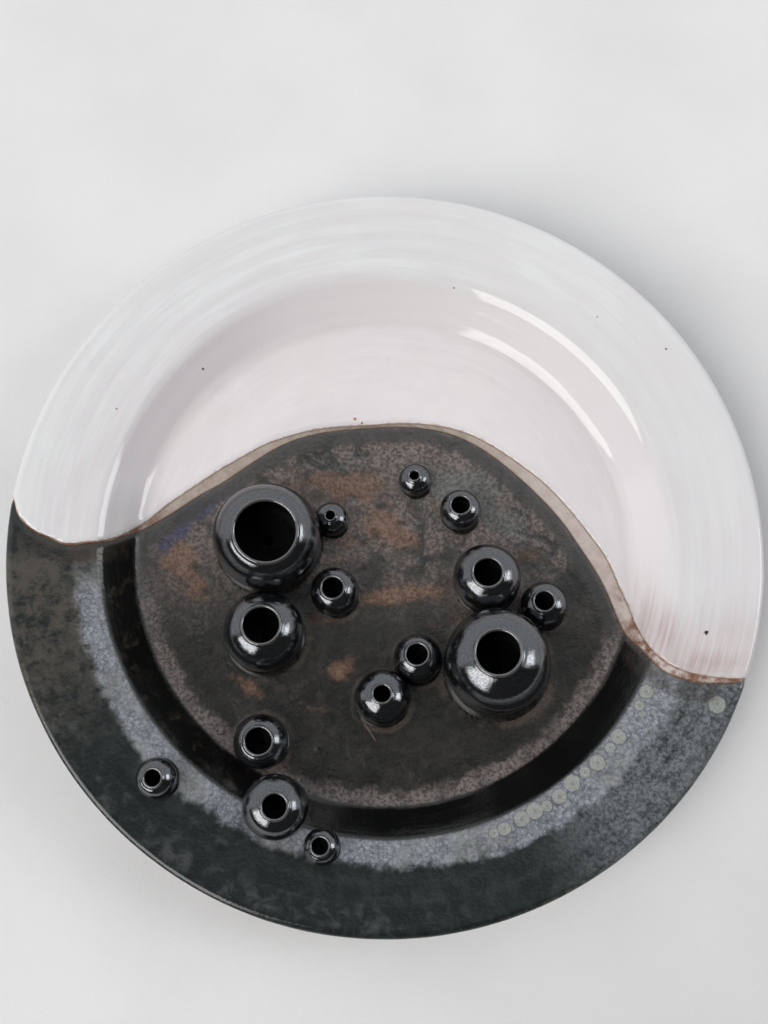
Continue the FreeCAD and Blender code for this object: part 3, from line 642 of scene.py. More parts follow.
# dark spots in the black coat; those over the dimples are painted shade in their hollows
DARK_SPOTS_AND_DIMPLE_SHADE = [(-2.0, 22.0, 4, 2.6, 10, 0.8), (8.0, 14.0, 3.4, 2.4, 0, 0.7), (-28.0, 40.0, 5, 2.4, 10, 0.7),
        (18.0, -2.0, 4, 2.6, 0, 0.7), (-66.0, 16.0, 5, 3, 20, 0.6), (-40.0, 41.0, 4, 2.4, 20, 0.6),
        (-33.0, 8.0, 3, 3, 0, 0.6), (-97.0, -20.0, 3.4, 5, 10, 0.6), (84.0, -14.0, 9, 11, -25, 1.0), (96.0, -30.0, 6, 9, -15, 0.6), (-4.3, 8.1, 3.2, 3, 0, 0.7),
        (-14.3, 25.6, 3.2, 2.6, 0, 0.7), (-8.8, -7.9, 3.4, 3, 0, 0.7), (-84.0, -6.5, 5, 3, 0, 0.7),
        (-80.0, -17.5, 5, 3, 0, 0.6), (26.0, -4.0, 8, 4, 0, 0.4), (-76.0, 6.0, 6, 5, 0, 0.3),
        (4.0, -2.0, 5, 3, 0, 0.5), (11.0, -9.0, 7, 3, 0, 0.5), (2.0, -26.0, 14, 4, 0, 0.5)]
FLUSH = [(118.0, -38.0, 10, 16, 20, 0.75), (140.0, -52.0, 16, 6, 0, 0.9), (113.0, -22.0, 6, 14, 8, 0.35),
         (152.0, -38.0, 13, 13, 0, 0.4), (130.0, -40.0, 18, 16, 0, 0.35)]

rows = row_places(S_LIP + 0.8)
gs, gt, gf = polar_grid(rows, 640)
field = black_pour(gs, gt)
gx, gy = plan(gs, gt)
hole = np.full(len(gs), 1e9)
for c in cups:
    hole = np.minimum(hole, np.hypot(gx - c.seat[0], gy - c.seat[1]) - (c.edge - 1.3))
bs, bt, bf = clip(gs, gt, gf, np.minimum(field, hole))
bx, by = plan(bs, bt)
pour = black_pour(bs, bt)
gap, gap_rel = seat_gap(bx, by)
az = np.degrees(bt)
thick = coat(pour, GLAZE)
full = smooth(pour, 0.0, 2.0)
h = thick - GLAZE
h += full * (0.16 * (1 - smooth(pour, 6.0, 11.0)) * (1 - smooth(bs, 100, 112)))
h += body_wave(bs, bt, bx, by)
h += full * (0.045 * N1(bx / 17.0, by / 17.0, 5.0) + 0.020 * N2(bx / 6.0, by / 6.0, 2.0)
             + 0.007 * N3(bx / 2.6, by / 2.6, 8.0))
h += full * 0.05 * N3(bt * 26.0, bs / 7.0, 1.0) * bump_at(bs, 108, 132, 5)
h += full * marks(bx, by)
h += 0.16 * np.exp(-np.clip(gap, 0, None) / 1.4) * (gap_rel < 1.5)


def black_low(s_, t_):
    x_, y_ = plan(s_, t_)
    return -GLAZE - 0.03 + body_wave(s_, t_, x_, y_)


def black_all(s_, t_):
    x_, y_ = plan(s_, t_)
    f_ = black_pour(s_, t_)
    for c_ in cups:
        f_ = np.minimum(f_, np.hypot(x_ - c_.seat[0], y_ - c_.seat[1]) - (c_.edge - 1.3))
    return f_


black = closed_coat("black_glaze", bs, bt, bf, h, black_low, black_all, {
    "pour": pour, "gap": gap, "gap_rel": gap_rel, "along": bs,
    "copper": spots(bx, by, COPPER), "haze": spots(bx, by, HAZE),
    "cobalt": spots(bx, by, COBALT), "deep": spots(bx, by, DARK_SPOTS_AND_DIMPLE_SHADE)})

rows = row_places(S_WIPE)
gs, gt, gf = polar_grid(rows, 640)
ws, wt, wf = clip(gs, gt, gf, white_pour(gs, gt))
wx, wy = plan(ws, wt)
pour = white_pour(ws, wt)
edge_w = np.minimum(pour, (S_WIPE - ws) * 0.9 + 0.05)
thick = coat(edge_w, GLAZE)
full = smooth(edge_w, 0.0, 2.0)
under = smooth(ws, S_LIP + 3, S_LIP + 8)
h = thick - GLAZE
h += full * 0.07 * np.exp(-((pour - 2.6) / 1.5) ** 2) * (1 - under)
h += body_wave(ws, wt, wx, wy) + 0.5 * full * throwing(ws, wt, wx, wy) * (1 - under)
h += full * (0.030 * N1(wx / 19.0, wy / 19.0, 6.0) + 0.006 * N2(wx / 7.0, wy / 7.0, 3.0))
h += full * 0.014 * N3(wt * 30.0, ws / 8.0, 4.0) * bump_at(ws, 106, 134, 5)
h += under * full * 0.05 * np.sin(TAU * (ws / 5.2 + wt / TAU)) * (0.6 + 0.5 * N2(wt * 9.0, 3.0))
white = closed_coat("white_glaze", ws, wt, wf, h,
                    lambda s_, t_: -GLAZE - 0.03 + body_wave(s_, t_, *plan(s_, t_)),
                    lambda s_, t_: np.minimum(white_pour(s_, t_), S_WIPE - s_),
                    {"pour": pour, "along": ws, "under": under,
                     "flush": spots(wx, wy, FLUSH) * (1 - under)})

# ------------------------------------------------------------ the clay dish
rows = row_places(S_END, 1.55)
ds, dt, df = polar_grid(rows, 512)
dx, dy = plan(ds, dt)
seam = np.minimum(signed_distance(dx, dy, BLACK_CURVE), -signed_distance(dx, dy, WHITE_CURVE))
turned = smooth(ds, S_LIP + 20, S_LIP + 40)
base = smooth(ds, S_WIPE - 2, S_WIPE + 6)
h = -GLAZE + body_wave(ds, dt, dx, dy) + 0.02 * N3(dx / 1.7, dy / 1.7, 0.5) * (1 - turned)
h += base * (0.085 * np.sin(TAU * (ds / 4.1 + dt / TAU)) * (0.7 + 0.4 * N2(dt * 3.0, ds / 20.0))
             + 0.05 * N1(dx / 2.2, dy / 2.2, 2.0))
h += base * -0.5 * np.exp(-(np.hypot(dx, dy) / 3.0) ** 2)
verts = point_at(ds, dt, h)
dish = new_object("dish_clay", verts, df, {"seam": seam, "base": base, "along": ds})
print("dish_clay faces", len(df), "open edges", len(border(df)))

# foot ring: turned, with a slightly rough, bevelled standing edge
section = [(87.5, 5.4), (98.5, 5.4), (98.45, 5.0), (98.1, 4.55), (97.6, 3.9), (97.15, 3.0),
           (96.75, 2.2), (96.4, 1.5), (96.1, 0.95), (95.9, 0.62), (95.6, 0.33), (95.2, 0.10),
           (94.7, 0.0), (93.6, 0.0), (92.4, 0.0), (91.2, 0.0), (90.6, 0.02), (90.2, 0.15),
           (89.85, 0.42), (89.65, 0.8), (89.45, 1.4), (89.2, 2.2), (88.85, 3.1), (88.4, 3.9),
           (87.9, 4.6), (87.55, 5.0)]
sec = np.array(section)
nf = 512
ft = np.arange(nf) * TAU / nf
fv = []
for i, (r, z) in enumerate(section):
    k = 0.0 if z > 4.9 else 1.0
    rough = k * (0.05 * N1(ft * 90, r * 0.9, z * 0.9) + 0.04 * N2(ft * 14, z * 0.5, 2.0)
                 + 0.05 * np.sin(TAU * z / 1.7 + 1.5 * np.sin(ft)))
    zz = np.maximum(0.0, z + (0.03 * N3(ft * 60, r, 1.0) if 0.2 < z < 4.9 else 0.0 * ft))
    rr = r + rough * (1.0 if r > 93 else -1.0)
    fv.append(np.c_[rr * np.cos(ft), rr * np.sin(ft), np.full(nf, 0.0) + zz])
ff = []
for i in range(len(section)):
    ff += [f[::-1] for f in stitch(i * nf, nf, ((i + 1) % len(section)) * nf, nf)]
ff = [f[::-1] for f in ff]
foot = new_object("foot", np.vstack(fv), ff)


# --------------------------------------------------------------- cup meshes
def arc_points(cx, cz, rr, t0, t1, gap):
    n = max(3, int(abs(t1 - t0) * rr / gap))
    t = np.linspace(t0, t1, n)
    return [(cx + rr * math.cos(q), cz + rr * math.sin(q)) for q in t]


def cup_mesh(c):
    gap = 0.62 if c.a > 15 else (0.46 if c.a > 10 else 0.36)
    sx = c.m + c.lw
    lip_z = c.c + math.sqrt(c.rho ** 2 - (sx - c.w) ** 2)
    mid = c.m + c.lw / 2
    sag = math.sqrt(c.rho ** 2 - (mid - c.w) ** 2) + c.c + 0.30 - lip_z
    lip_r = (c.lw ** 2 / 4 + sag ** 2) / (2 * sag)
    lip_cz = lip_z + sag - lip_r
    ri = c.rho - c.wall
    throat = c.c + math.sqrt(ri ** 2 - (c.m - c.w) ** 2)
    floor_x = c.w + math.sqrt(ri ** 2 - (c.c - c.inside) ** 2)
    pts = [(c.contact - 0.35, -3.2), (c.contact - 0.1, -1.4)]
    part = [0, 0]
    t0 = math.atan2(-c.c, c.contact - c.w)
    t1 = math.atan2(lip_z - c.c, sx - c.w)
    new = arc_points(c.w, c.c, c.rho, t0, t1, gap)
    pts += new
    part += [1] * len(new)
    a0 = math.atan2(lip_z - lip_cz, sx - mid)
    a1 = math.atan2(lip_z - lip_cz, c.m - mid)
    new = arc_points(mid, lip_cz, lip_r, a0, a1 if a1 > a0 else a1 + TAU, 0.16)[1:]
    pts += new
    part += [2] * len(new)
    for k in (0.35, 0.7):
        pts.append((c.m, lip_z + (throat - lip_z) * k))
        part.append(3)
    b0 = math.atan2(throat - c.c, c.m - c.w)
    b1 = math.atan2(c.inside - c.c, floor_x - c.w)
    new = arc_points(c.w, c.c, ri, b0, b1, gap * 1.5)
    pts += new
    part += [4] * len(new)
    # a swirl of turning marks on the floor inside
    for k in np.linspace(0.88, 0.12, max(3, int(floor_x / 0.9))):
        pts.append((floor_x * k, c.inside + 0.03 * math.cos(k * floor_x * 1.3)))
        part.append(5)
    pts, part = np.array(pts), np.array(part)
    n = int(min(176, max(88, TAU * c.a / 0.85)))
    n += n % 2
    th = np.arange(n) * TAU / n
    grid = np.zeros((len(pts), n, 3))
    seed = c.number * 7.3
    oval = 0.0045 * np.cos(2 * th + seed) + 0.0025 * np.cos(3 * th - seed * 2)
    for i, ((r, z), p) in enumerate(zip(pts, part)):
        rr = r * (1 + oval)
        zz = np.full(n, z)
        # normal of the section, roughly
        q0, q1 = pts[max(0, i - 1)], pts[min(len(pts) - 1, i + 1)]
        tx, tz = q1[0] - q0[0], q1[1] - q0[1]
        k = math.hypot(tx, tz) or 1.0
        nx, nz = tz / k, -tx / k
        lift = np.zeros(n)
        if p == 1:
            fade = math.exp(-((z - c.c * 0.1) / (c.c * 0.2)) ** 2)
            lift = (0.016 * np.sin(TAU * (z / (c.a * 0.16)) + th + seed) * (z > c.c * 0.4)
                    + 0.040 * N1(np.cos(th) * c.a / 7 + seed, np.sin(th) * c.a / 7, z / 7)
                    + 0.011 * N2(np.cos(th) * c.a / 2.6 + seed, np.sin(th) * c.a / 2.6, z / 2.6)
                    + 0.05 * fade * N3(np.cos(th) * 4, np.sin(th) * 4, seed))
            # a fine tooled line where the lip was turned
            lift = lift - 0.10 * math.exp(-((r - sx - 0.55) / 0.32) ** 2) * (z > c.c)
        elif p in (2, 3):
            lift = 0.045 * N2(np.cos(th) * c.m / 2.0 + seed, np.sin(th) * c.m / 2.0, 0.5)
        elif p == 4:
            lift = 0.015 * np.sin(TAU * z / 2.3 + th) + 0.05 * N1(np.cos(th) * 3, np.sin(th) * 3, z / 4)
        rr = rr + lift * nx
        zz = zz + lift * nz
        grid[i, :, 0] = rr * np.cos(th)
        grid[i, :, 1] = rr * np.sin(th)
        grid[i, :, 2] = zz
    local = grid.reshape(-1, 3)
    poles = np.array([[0, 0, -3.2], [0, 0, c.inside + 0.10]])
    local = np.vstack([local, poles])
    world = c.seat + local[:, :1] * c.u + local[:, 1:2] * c.v + local[:, 2:3] * c.axis
    faces = []
    for i in range(len(pts) - 1):
        faces += [f for f in stitch(i * n, n, (i + 1) * n, n)]
    k = len(pts) * n
    j = np.arange(n)
    faces += np.c_[(j + 1) % n, np.full(n, k), j].tolist()
    faces = [f[::-1] for f in faces]
    last = (len(pts) - 1) * n
    faces += np.c_[last + (j + 1) % n, last + j, np.full(n, k + 1)].tolist()
    kind = np.r_[np.repeat(part, n), [0, 5]].astype(float)
    ob = new_object("cup_%02d" % c.number, world, faces,
                    {"kind": kind, "inner": (kind >= 3.5).astype(float),
                     "lip": (kind == 2).astype(float),
                     "up": np.r_[np.repeat(pts[:, 1] / c.a, n), [0, 0]]})
    return ob


def ring_mesh(c):
    """The roll of clay pressed round the foot of a cup, glazed over."""
    n = int(min(160, max(72, TAU * c.a / 1.0)))
    n += n % 2
    th = np.arange(n) * TAU / n
    climb = 0.30 * c.a
    touch = c.w + math.sqrt(c.rho ** 2 - (c.c - climb) ** 2)
    seed = c.number * 3.7
    wob = 1 + 0.020 * N2(np.cos(th) * 1.6 + seed, np.sin(th) * 1.6, 0.7) \
        + 0.010 * N3(np.cos(th) * 5 + seed, np.sin(th) * 5, 1.7)
    climb_t = climb * (1 + 0.10 * N1(np.cos(th) * 1.8, np.sin(th) * 1.8 + seed, 0.2))
    touch_t = c.w + np.sqrt(c.rho ** 2 - (c.c - climb_t) ** 2)

    def cup_point(r, z):
        return (c.seat + np.outer(r * np.cos(th), c.u) + np.outer(r * np.sin(th), c.v)
                + np.outer(z, c.axis))

    def ground(xy, lift):
        r = np.hypot(xy[:, 0], xy[:, 1])
        z = np.interp(r, TABLE[:lip_index, 0], TABLE[:lip_index, 1])
        t = np.arctan2(xy[:, 1], xy[:, 0]) % TAU
        z = z + body_wave(np.interp(r, TABLE[:lip_index, 0], S_AT[:lip_index]), t,
                          xy[:, 0], xy[:, 1])
        return np.c_[xy, z + lift]

    top = cup_point(touch_t, climb_t)
    flat = cup_point(np.ones(n), np.zeros(n)) - c.seat
    flat[:, 2] = 0
    flat /= np.linalg.norm(flat, axis=1)[:, None]
    centre = c.seat[:2]
    out = ground(centre + flat[:, :2] * (c.edge * wob)[:, None], 0.02)
    far = ground(centre + flat[:, :2] * (c.edge * wob + 0.9)[:, None], -0.10)
    bend = ground(centre + flat[:, :2] * (0.95 * touch_t)[:, None], 0.10)
    loops = [top]
    for k in np.linspace(0, 1, 12)[1:]:
        p = (1 - k) ** 2 * top + 2 * k * (1 - k) * bend + k * k * out
        p = p + np.outer(0.05 * math.sin(math.pi * k)
                         * N2(np.cos(th) * 7 + seed, np.sin(th) * 7, k * 3), [0, 0, 1])
        loops.append(p)
    loops.append(far)
    deep = ground(centre + flat[:, :2] * (c.edge * wob + 0.3)[:, None], -0.52)
    loops.append(deep)
    low = cup_point(np.full(n, c.contact - 0.7), np.zeros(n))
    low_in = ground(low[:, :2], -0.66)
    loops.append(low_in)
    loops.append(cup_point(np.full(n, c.contact - 0.7), np.full(n, 0.35)))
    loops.append(cup_point(touch_t - 0.6, climb_t - 0.05))
    m = len(loops)
    faces = []
    for i in range(m):
        faces += [f for f in stitch(i * n, n, ((i + 1) % m) * n, n)]
    along = np.repeat(np.r_[np.linspace(0, 1, 12), [1.05, 1.1, 1, 0.5, 0.0]], n)
    return new_object("seam_%02d" % c.number, np.vstack(loops), faces, {"along": along})


cup_objects = [cup_mesh(c) for c in cups]
ring_objects = [ring_mesh(c) for c in cups]


# ------------------------------------------------------------- node helpers
class Graph:
    def __init__(self, tree):
        self.t = tree
        tree.nodes.clear()

    def node(self, kind, **props):
        n = self.t.nodes.new(kind)
        for k, v in props.items():
            setattr(n, k, v)
        return n

    def put(self, socket, value):
        if isinstance(value, bpy.types.NodeSocket):
            self.t.links.new(value, socket)
        elif isinstance(value, (tuple, list)) and len(value) == 3 and socket.type == "RGBA":
            socket.default_value = (*value, 1.0)
        else:
            socket.default_value = value

    def f(self, op, a, b=None, c=None, clamp=False):
        n = self.node("ShaderNodeMath", operation=op, use_clamp=clamp)
        for i, v in enumerate((a, b, c)):
            if v is not None:
                self.put(n.inputs[i], v)
        return n.outputs[0]

    def v(self, op, a, b=None):
        n = self.node("ShaderNodeVectorMath", operation=op)
        self.put(n.inputs[0], a)
        if b is not None:
            self.put(n.inputs["Scale"] if op == "SCALE" else n.inputs[1], b)
        return n.outputs["Value"] if op in ("LENGTH", "DISTANCE", "DOT_PRODUCT") else n.outputs[0]

    def smooth(self, x, lo, hi, to0=0.0, to1=1.0):
        n = self.node("ShaderNodeMapRange", interpolation_type="SMOOTHSTEP")
        for i, v in enumerate((x, lo, hi, to0, to1)):
            self.put(n.inputs[i], v)
        return n.outputs[0]

    def band(self, x, lo, hi, soft_lo, soft_hi):
        return self.f("MULTIPLY", self.smooth(x, lo - soft_lo, lo + soft_lo),
                      self.smooth(x, hi - soft_hi, hi + soft_hi, 1.0, 0.0))

    def mix(self, fac, a, b, mode="MIX"):
        n = self.node("ShaderNodeMix", data_type="RGBA", blend_type=mode, clamp_factor=True)
        self.put(n.inputs[0], fac)
        self.put(n.inputs[6], a)
        self.put(n.inputs[7], b)
        return n.outputs[2]

    def lerp(self, fac, a, b):
        n = self.node("ShaderNodeMix", data_type="FLOAT", clamp_factor=True)
        self.put(n.inputs[0], fac)
        self.put(n.inputs[2], a)
        self.put(n.inputs[3], b)
        return n.outputs[0]

    def noise(self, vec, scale, detail=3.0, rough=0.5, bend=0.0):
        n = self.node("ShaderNodeTexNoise")
        self.put(n.inputs["Vector"], vec)
        self.put(n.inputs["Scale"], scale)
        self.put(n.inputs["Detail"], detail)
        self.put(n.inputs["Roughness"], rough)
        self.put(n.inputs["Distortion"], bend)
        return n.outputs[0]

    def cells(self, vec, scale, feature="F1", jitter=1.0, out="Distance"):
        n = self.node("ShaderNodeTexVoronoi", feature=feature)
        self.put(n.inputs["Vector"], vec)
        self.put(n.inputs["Scale"], scale)
        self.put(n.inputs["Randomness"], jitter)
        return n.outputs[out]

    def attr(self, name):
        return self.node("ShaderNodeAttribute", attribute_name=name).outputs["Fac"]

    def xyz(self, x, y, z):
        n = self.node("ShaderNodeCombineXYZ")
        for i, v in enumerate((x, y, z)):
            self.put(n.inputs[i], v)
        return n.outputs[0]

    def place(self):
        """Position in mm, radius, unit direction and bearing in degrees."""
        tc = self.node("ShaderNodeTexCoord")
        p = self.v("SCALE", tc.outputs["Object"], 1000.0)
        sep = self.node("ShaderNodeSeparateXYZ")
        self.put(sep.inputs[0], p)
        x, y, z = sep.outputs
        r = self.f("MAXIMUM", self.f("SQRT", self.f("ADD", self.f("MULTIPLY", x, x),
                                                    self.f("MULTIPLY", y, y))), 0.01)
        cx, cy = self.f("DIVIDE", x, r), self.f("DIVIDE", y, r)
        a = self.f("MULTIPLY", self.f("ARCTAN2", y, x), 180.0 / math.pi)
        a = self.f("ADD", a, self.f("MULTIPLY", self.f("LESS_THAN", a, 0.0), 360.0))
        return p, x, y, z, r, cx, cy, a

    def bump(self, height, strength, distance, normal=None):
        n = self.node("ShaderNodeBump")
        self.put(n.inputs["Strength"], strength)
        self.put(n.inputs["Distance"], distance)
        self.put(n.inputs["Height"], height)
        if normal is not None:
            self.put(n.inputs["Normal"], normal)
        return n.outputs[0]

    def surface(self, color, rough, ior, normal=None, spec_tint=None, metallic=0.0, coat=0.0,
                coat_rough=0.05, level=0.5):
        b = self.node("ShaderNodeBsdfPrincipled")
        self.put(b.inputs["Base Color"], color)
        self.put(b.inputs["Roughness"], rough)
        self.put(b.inputs["IOR"], ior)
        self.put(b.inputs["Metallic"], metallic)
        self.put(b.inputs["Specular IOR Level"], level)
        self.put(b.inputs["Coat Weight"], coat)
        self.put(b.inputs["Coat Roughness"], coat_rough)
        if spec_tint is not None:
            self.put(b.inputs["Specular Tint"], spec_tint)
        if normal is not None:
            self.put(b.inputs["Normal"], normal)
        out = self.node("ShaderNodeOutputMaterial")
        self.t.links.new(b.outputs[0], out.inputs[0])
        return b


def material(name):
    m = bpy.data.materials.new(name)
    m.use_nodes = True
    return m, Graph(m.node_tree)


def streaks(g, cx, cy, r, around, across, detail=4.0, rough=0.55):
    vec = g.xyz(g.f("MULTIPLY", cx, around), g.f("MULTIPLY", cy, around),
                g.f("MULTIPLY", r, across))
    return g.noise(vec, 1.0, detail, rough)


# ----------------------------------------------------------- white glaze
mat_white, g = material("white_stoneware_glaze")
p, x, y, z, r, cx, cy, a = g.place()
pour, under, flush, along = g.attr("pour"), g.attr("under"), g.attr("flush"), g.attr("along")
broad = streaks(g, cx, cy, along, 1.6, 0.085, 5.0, 0.6)
fine = streaks(g, cx, cy, along, 3.0, 0.42, 5.0, 0.62)
hair = streaks(g, cx, cy, along, 7.0, 1.9, 3.0, 0.5)
cloud = g.noise(p, 0.030, 4.0, 0.55)
well = g.smooth(r, 122.0, 106.0)
rimward = g.smooth(r, 121.0, 131.0)
clean = g.mix(rimward, (0.760, 0.738, 0.742), (0.742, 0.756, 0.758))
lilac = g.mix(rimward, (0.705, 0.655, 0.668), (0.690, 0.678, 0.690))
warm = g.mix(rimward, (0.755, 0.712, 0.706), (0.735, 0.728, 0.722))
tone = g.f("ADD", g.f("MULTIPLY", g.smooth(broad, 0.36, 0.66), 0.55),
           g.f("MULTIPLY", g.smooth(fine, 0.36, 0.68), 0.45))
grit = g.noise(p, 0.9, 3.0, 0.6)
tone = g.f("ADD", g.f("MULTIPLY", tone, 0.50), g.f("MULTIPLY", well, 0.30))
tone = g.f("ADD", tone, g.f("MULTIPLY", g.smooth(g.noise(p, 0.055, 4.0, 0.6), 0.42, 0.62), 0.25))
col = g.mix(tone, clean, lilac)
col = g.mix(g.f("MULTIPLY", g.smooth(cloud, 0.42, 0.66), 0.45), col, warm)
col = g.mix(g.f("MULTIPLY", g.smooth(hair, 0.52, 0.72), 0.06), col, (0.60, 0.57, 0.59))
col = g.mix(g.f("MULTIPLY", g.smooth(grit, 0.50, 0.70), 0.10), col, (0.62, 0.60, 0.615))
patch = streaks(g, cx, cy, along, 1.3, 0.032, 4.0, 0.6)
col = g.mix(g.f("MULTIPLY", g.smooth(g.f("ADD", patch, g.f("MULTIPLY", g.f("SUBTRACT", fine, 0.5), 0.35)), 0.47, 0.60), 0.24), col, (0.635, 0.588, 0.606))
lit_wall = g.f("MULTIPLY", g.band(r, 111.5, 124.5, 2.0, 2.0), g.f("MAXIMUM", g.smooth(a, 178.0, 160.0), g.smooth(a, 300.0, 330.0)))
col = g.mix(g.f("MULTIPLY", lit_wall, 0.75), col, (0.815, 0.780, 0.792))
# greyer toward the right-hand side of the dish
turned = g.f("MAXIMUM", g.smooth(a, 62.0, 20.0), g.smooth(a, 300.0, 330.0))
col = g.mix(g.f("MULTIPLY", turned, 0.30), col, (0.60, 0.585, 0.60))
# greyer wall to the left: painted shade, as this wall faces away from the window
left_wall_shade = g.f("MULTIPLY", g.band(a, 118.0, 176.0, 12.0, 6.0), g.band(r, 112.0, 124.5, 1.6, 1.6))
col = g.mix(g.f("MULTIPLY", left_wall_shade, 0.16), col, (0.42, 0.39, 0.43))
lwash = g.f("MULTIPLY", g.band(a, 120.0, 186.0, 16.0, 8.0), g.band(r, 122.0, 150.0, 3.0, 10.0))
col = g.mix(g.f("MULTIPLY", lwash, g.f("MULTIPLY", g.smooth(fine, 0.3, 0.7), 0.25)), col,
            (0.60, 0.53, 0.57))
# warm flush over the iron beside the black
pink = g.f("MULTIPLY", flush, g.f("ADD", 0.55, g.f("MULTIPLY", g.smooth(fine, 0.35, 0.65), 0.6)))
col = g.mix(g.f("MULTIPLY", pink, 0.88), col, (0.47, 0.375, 0.375))
edge_noise = g.noise(p, 0.42, 4.0, 0.6)
reach = g.f("ADD", 0.35, g.f("MULTIPLY", g.smooth(edge_noise, 0.4, 0.7), 0.9))
rim = g.f("MULTIPLY", g.smooth(g.f("DIVIDE", pour, reach), 1.0, 0.1), g.smooth(under, 0.6, 0.2))
col = g.mix(g.f("MULTIPLY", rim, 0.75), col, (0.36, 0.25, 0.18))
# iron specks and pin holes
speck = g.cells(p, 0.115)
pick = g.noise(p, 0.05, 2.0)
dot = g.f("MULTIPLY", g.smooth(speck, 0.034, 0.016), g.smooth(pick, 0.50, 0.56))
col = g.mix(g.f("MULTIPLY", dot, 0.6), col, (0.18, 0.12, 0.09))
for sx, sy, size, shade in ((137.9, -38.0, 1.25, (0.03, 0.022, 0.022)), (-83.2, 83.8, 0.55, (0.10, 0.08, 0.08)),
                            (95.7, 106.2, 0.55, (0.16, 0.12, 0.11)), (126.1, 90.7, 0.6, (0.14, 0.10, 0.10)),
                            (-14.0, 62.8, 0.85, (0.42, 0.16, 0.07)), (-10.8, 60.9, 0.7, (0.42, 0.16, 0.07)),
                            (31.0, 121.0, 0.4, (0.2, 0.16, 0.15)), (-120.0, 62.0, 0.45, (0.2, 0.15, 0.13))):
    q = g.v("DISTANCE", g.xyz(x, g.f("MULTIPLY", y, 1.0), 0.0), (sx, sy, 0.0))
    q = g.f("ADD", q, g.f("MULTIPLY", g.f("SUBTRACT", g.noise(p, 0.9, 2.0), 0.5), size * 1.6))
    q = g.f("ADD", q, g.f("MULTIPLY", under, 50.0))
    col = g.mix(g.smooth(q, size, size * 0.55), col, shade)
peel = g.noise(p, 0.62, 3.0, 0.5)
nor = g.bump(peel, 0.06, 0.00030)
nor = g.bump(fine, 0.05, 0.0004, nor)
ruf = g.lerp(g.smooth(cloud, 0.35, 0.7), 0.035, 0.075)
g.surface(col, ruf, 1.52, nor)

# ----------------------------------------------------------- black glaze
mat_black, g = material("black_lustre_glaze")
p, x, y, z, r, cx, cy, a = g.place()
pour, gap, gap_rel, along = (g.attr(k) for k in ("pour", "gap", "gap_rel", "along"))
copper, haze, cobalt, deep = (g.attr(k) for k in ("copper", "haze", "cobalt", "deep"))
n_big = g.noise(p, 0.045, 4.0, 0.55)
n_mid = g.noise(p, 0.14, 5.0, 0.62, 0.4)
n_fine = g.noise(p, 0.62, 4.0, 0.65)
grain = g.noise(p, 2.2, 3.0, 0.6)
ring = streaks(g, cx, cy, along, 2.6, 0.30, 4.0, 0.55)
floor = g.smooth(g.f("ADD", r, g.f("MULTIPLY", g.f("SUBTRACT", n_mid, 0.5), 3.0)), 113.0, 109.5)
# paler olive over the upper half: partly the glaze's colour, partly painted sheen
upper = g.smooth(g.f("ADD", y, g.f("MULTIPLY", n_big, 20.0)), -45.0, 25.0)
olive_dark, olive = (0.0105, 0.0102, 0.0082), (0.058, 0.053, 0.046)
col = g.mix(g.f("MULTIPLY", upper, 0.85), olive_dark, olive)
col = g.mix(g.f("MULTIPLY", g.smooth(n_mid, 0.40, 0.66), 0.55), col, g.mix(upper, (0.0165, 0.0160, 0.0140), (0.026, 0.025, 0.022)))
vein = g.cells(g.v("ADD", p, g.v("SCALE", g.xyz(n_mid, n_fine, n_mid), 5.0)), 0.16, "DISTANCE_TO_EDGE", 1.0)
vein = g.f("MULTIPLY", g.smooth(vein, 0.10, 0.0), g.smooth(g.noise(p, 0.08, 2.0), 0.45, 0.58))
col = g.mix(g.f("MULTIPLY", vein, 0.12), col, (0.075, 0.074, 0.066))
# mauve-brown over the upper half, broken by darker pools: partly the glaze's own colour, partly a painted sheen of the
# lustre
warmth_and_sheen = g.f("MULTIPLY", g.smooth(g.f("ADD", y, g.f("MULTIPLY", n_big, 34.0)), -22.0, 34.0), g.smooth(r, 112.0, 96.0))
pools = g.noise(p, 0.085, 4.0, 0.6, 0.8)
col = g.mix(g.f("MULTIPLY", warmth_and_sheen, g.smooth(pools, 0.38, 0.54)), col, g.mix(g.smooth(n_fine, 0.40, 0.60), (0.110, 0.084, 0.074), (0.190, 0.148, 0.134)))
col = g.mix(g.f("MULTIPLY", g.f("ADD", 0.30, g.f("MULTIPLY", warmth_and_sheen, 0.6)), g.smooth(pools, 0.44, 0.36)), col, (0.019, 0.018, 0.016))
low_b = g.f("MULTIPLY", g.smooth(g.noise(p, 0.065, 4.0, 0.6, 0.6), 0.48, 0.66), g.f("SUBTRACT", 1.0, warmth_and_sheen))
col = g.mix(g.f("MULTIPLY", low_b, 0.28), col, (0.052, 0.042, 0.033))
mott = g.smooth(g.f("ADD", g.f("MULTIPLY", copper, 0.60), g.f("MULTIPLY", n_mid, 0.9)), 0.52, 0.90)
col = g.mix(g.f("MULTIPLY", mott, 0.85), col, (0.190, 0.108, 0.072))
mott2 = g.smooth(g.f("ADD", g.f("MULTIPLY", copper, 0.45), g.f("MULTIPLY", n_fine, 0.9)), 0.62, 0.98)
col = g.mix(g.f("MULTIPLY", mott2, 0.55), col, (0.215, 0.142, 0.115))
hz = g.smooth(g.f("ADD", g.f("MULTIPLY", haze, 0.65), g.f("MULTIPLY", n_fine, 0.75)), 0.50, 1.05)
col = g.mix(g.f("MULTIPLY", hz, 0.80), col, (0.150, 0.158, 0.152))
cb = g.smooth(g.f("ADD", g.f("MULTIPLY", cobalt, 0.6), g.f("MULTIPLY", n_mid, 0.9)), 0.62, 1.02)
col = g.mix(g.f("MULTIPLY", cb, 0.85), col, (0.040, 0.052, 0.120))
# dark spots; over the dimples they are painted shade in the hollows
dark_and_dimple_shade = g.smooth(g.f("ADD", g.f("MULTIPLY", deep, 0.7), g.f("MULTIPLY", n_mid, 0.5)), 0.42, 0.82)
col = g.mix(g.f("MULTIPLY", dark_and_dimple_shade, 0.88), col, (0.010, 0.010, 0.0095))
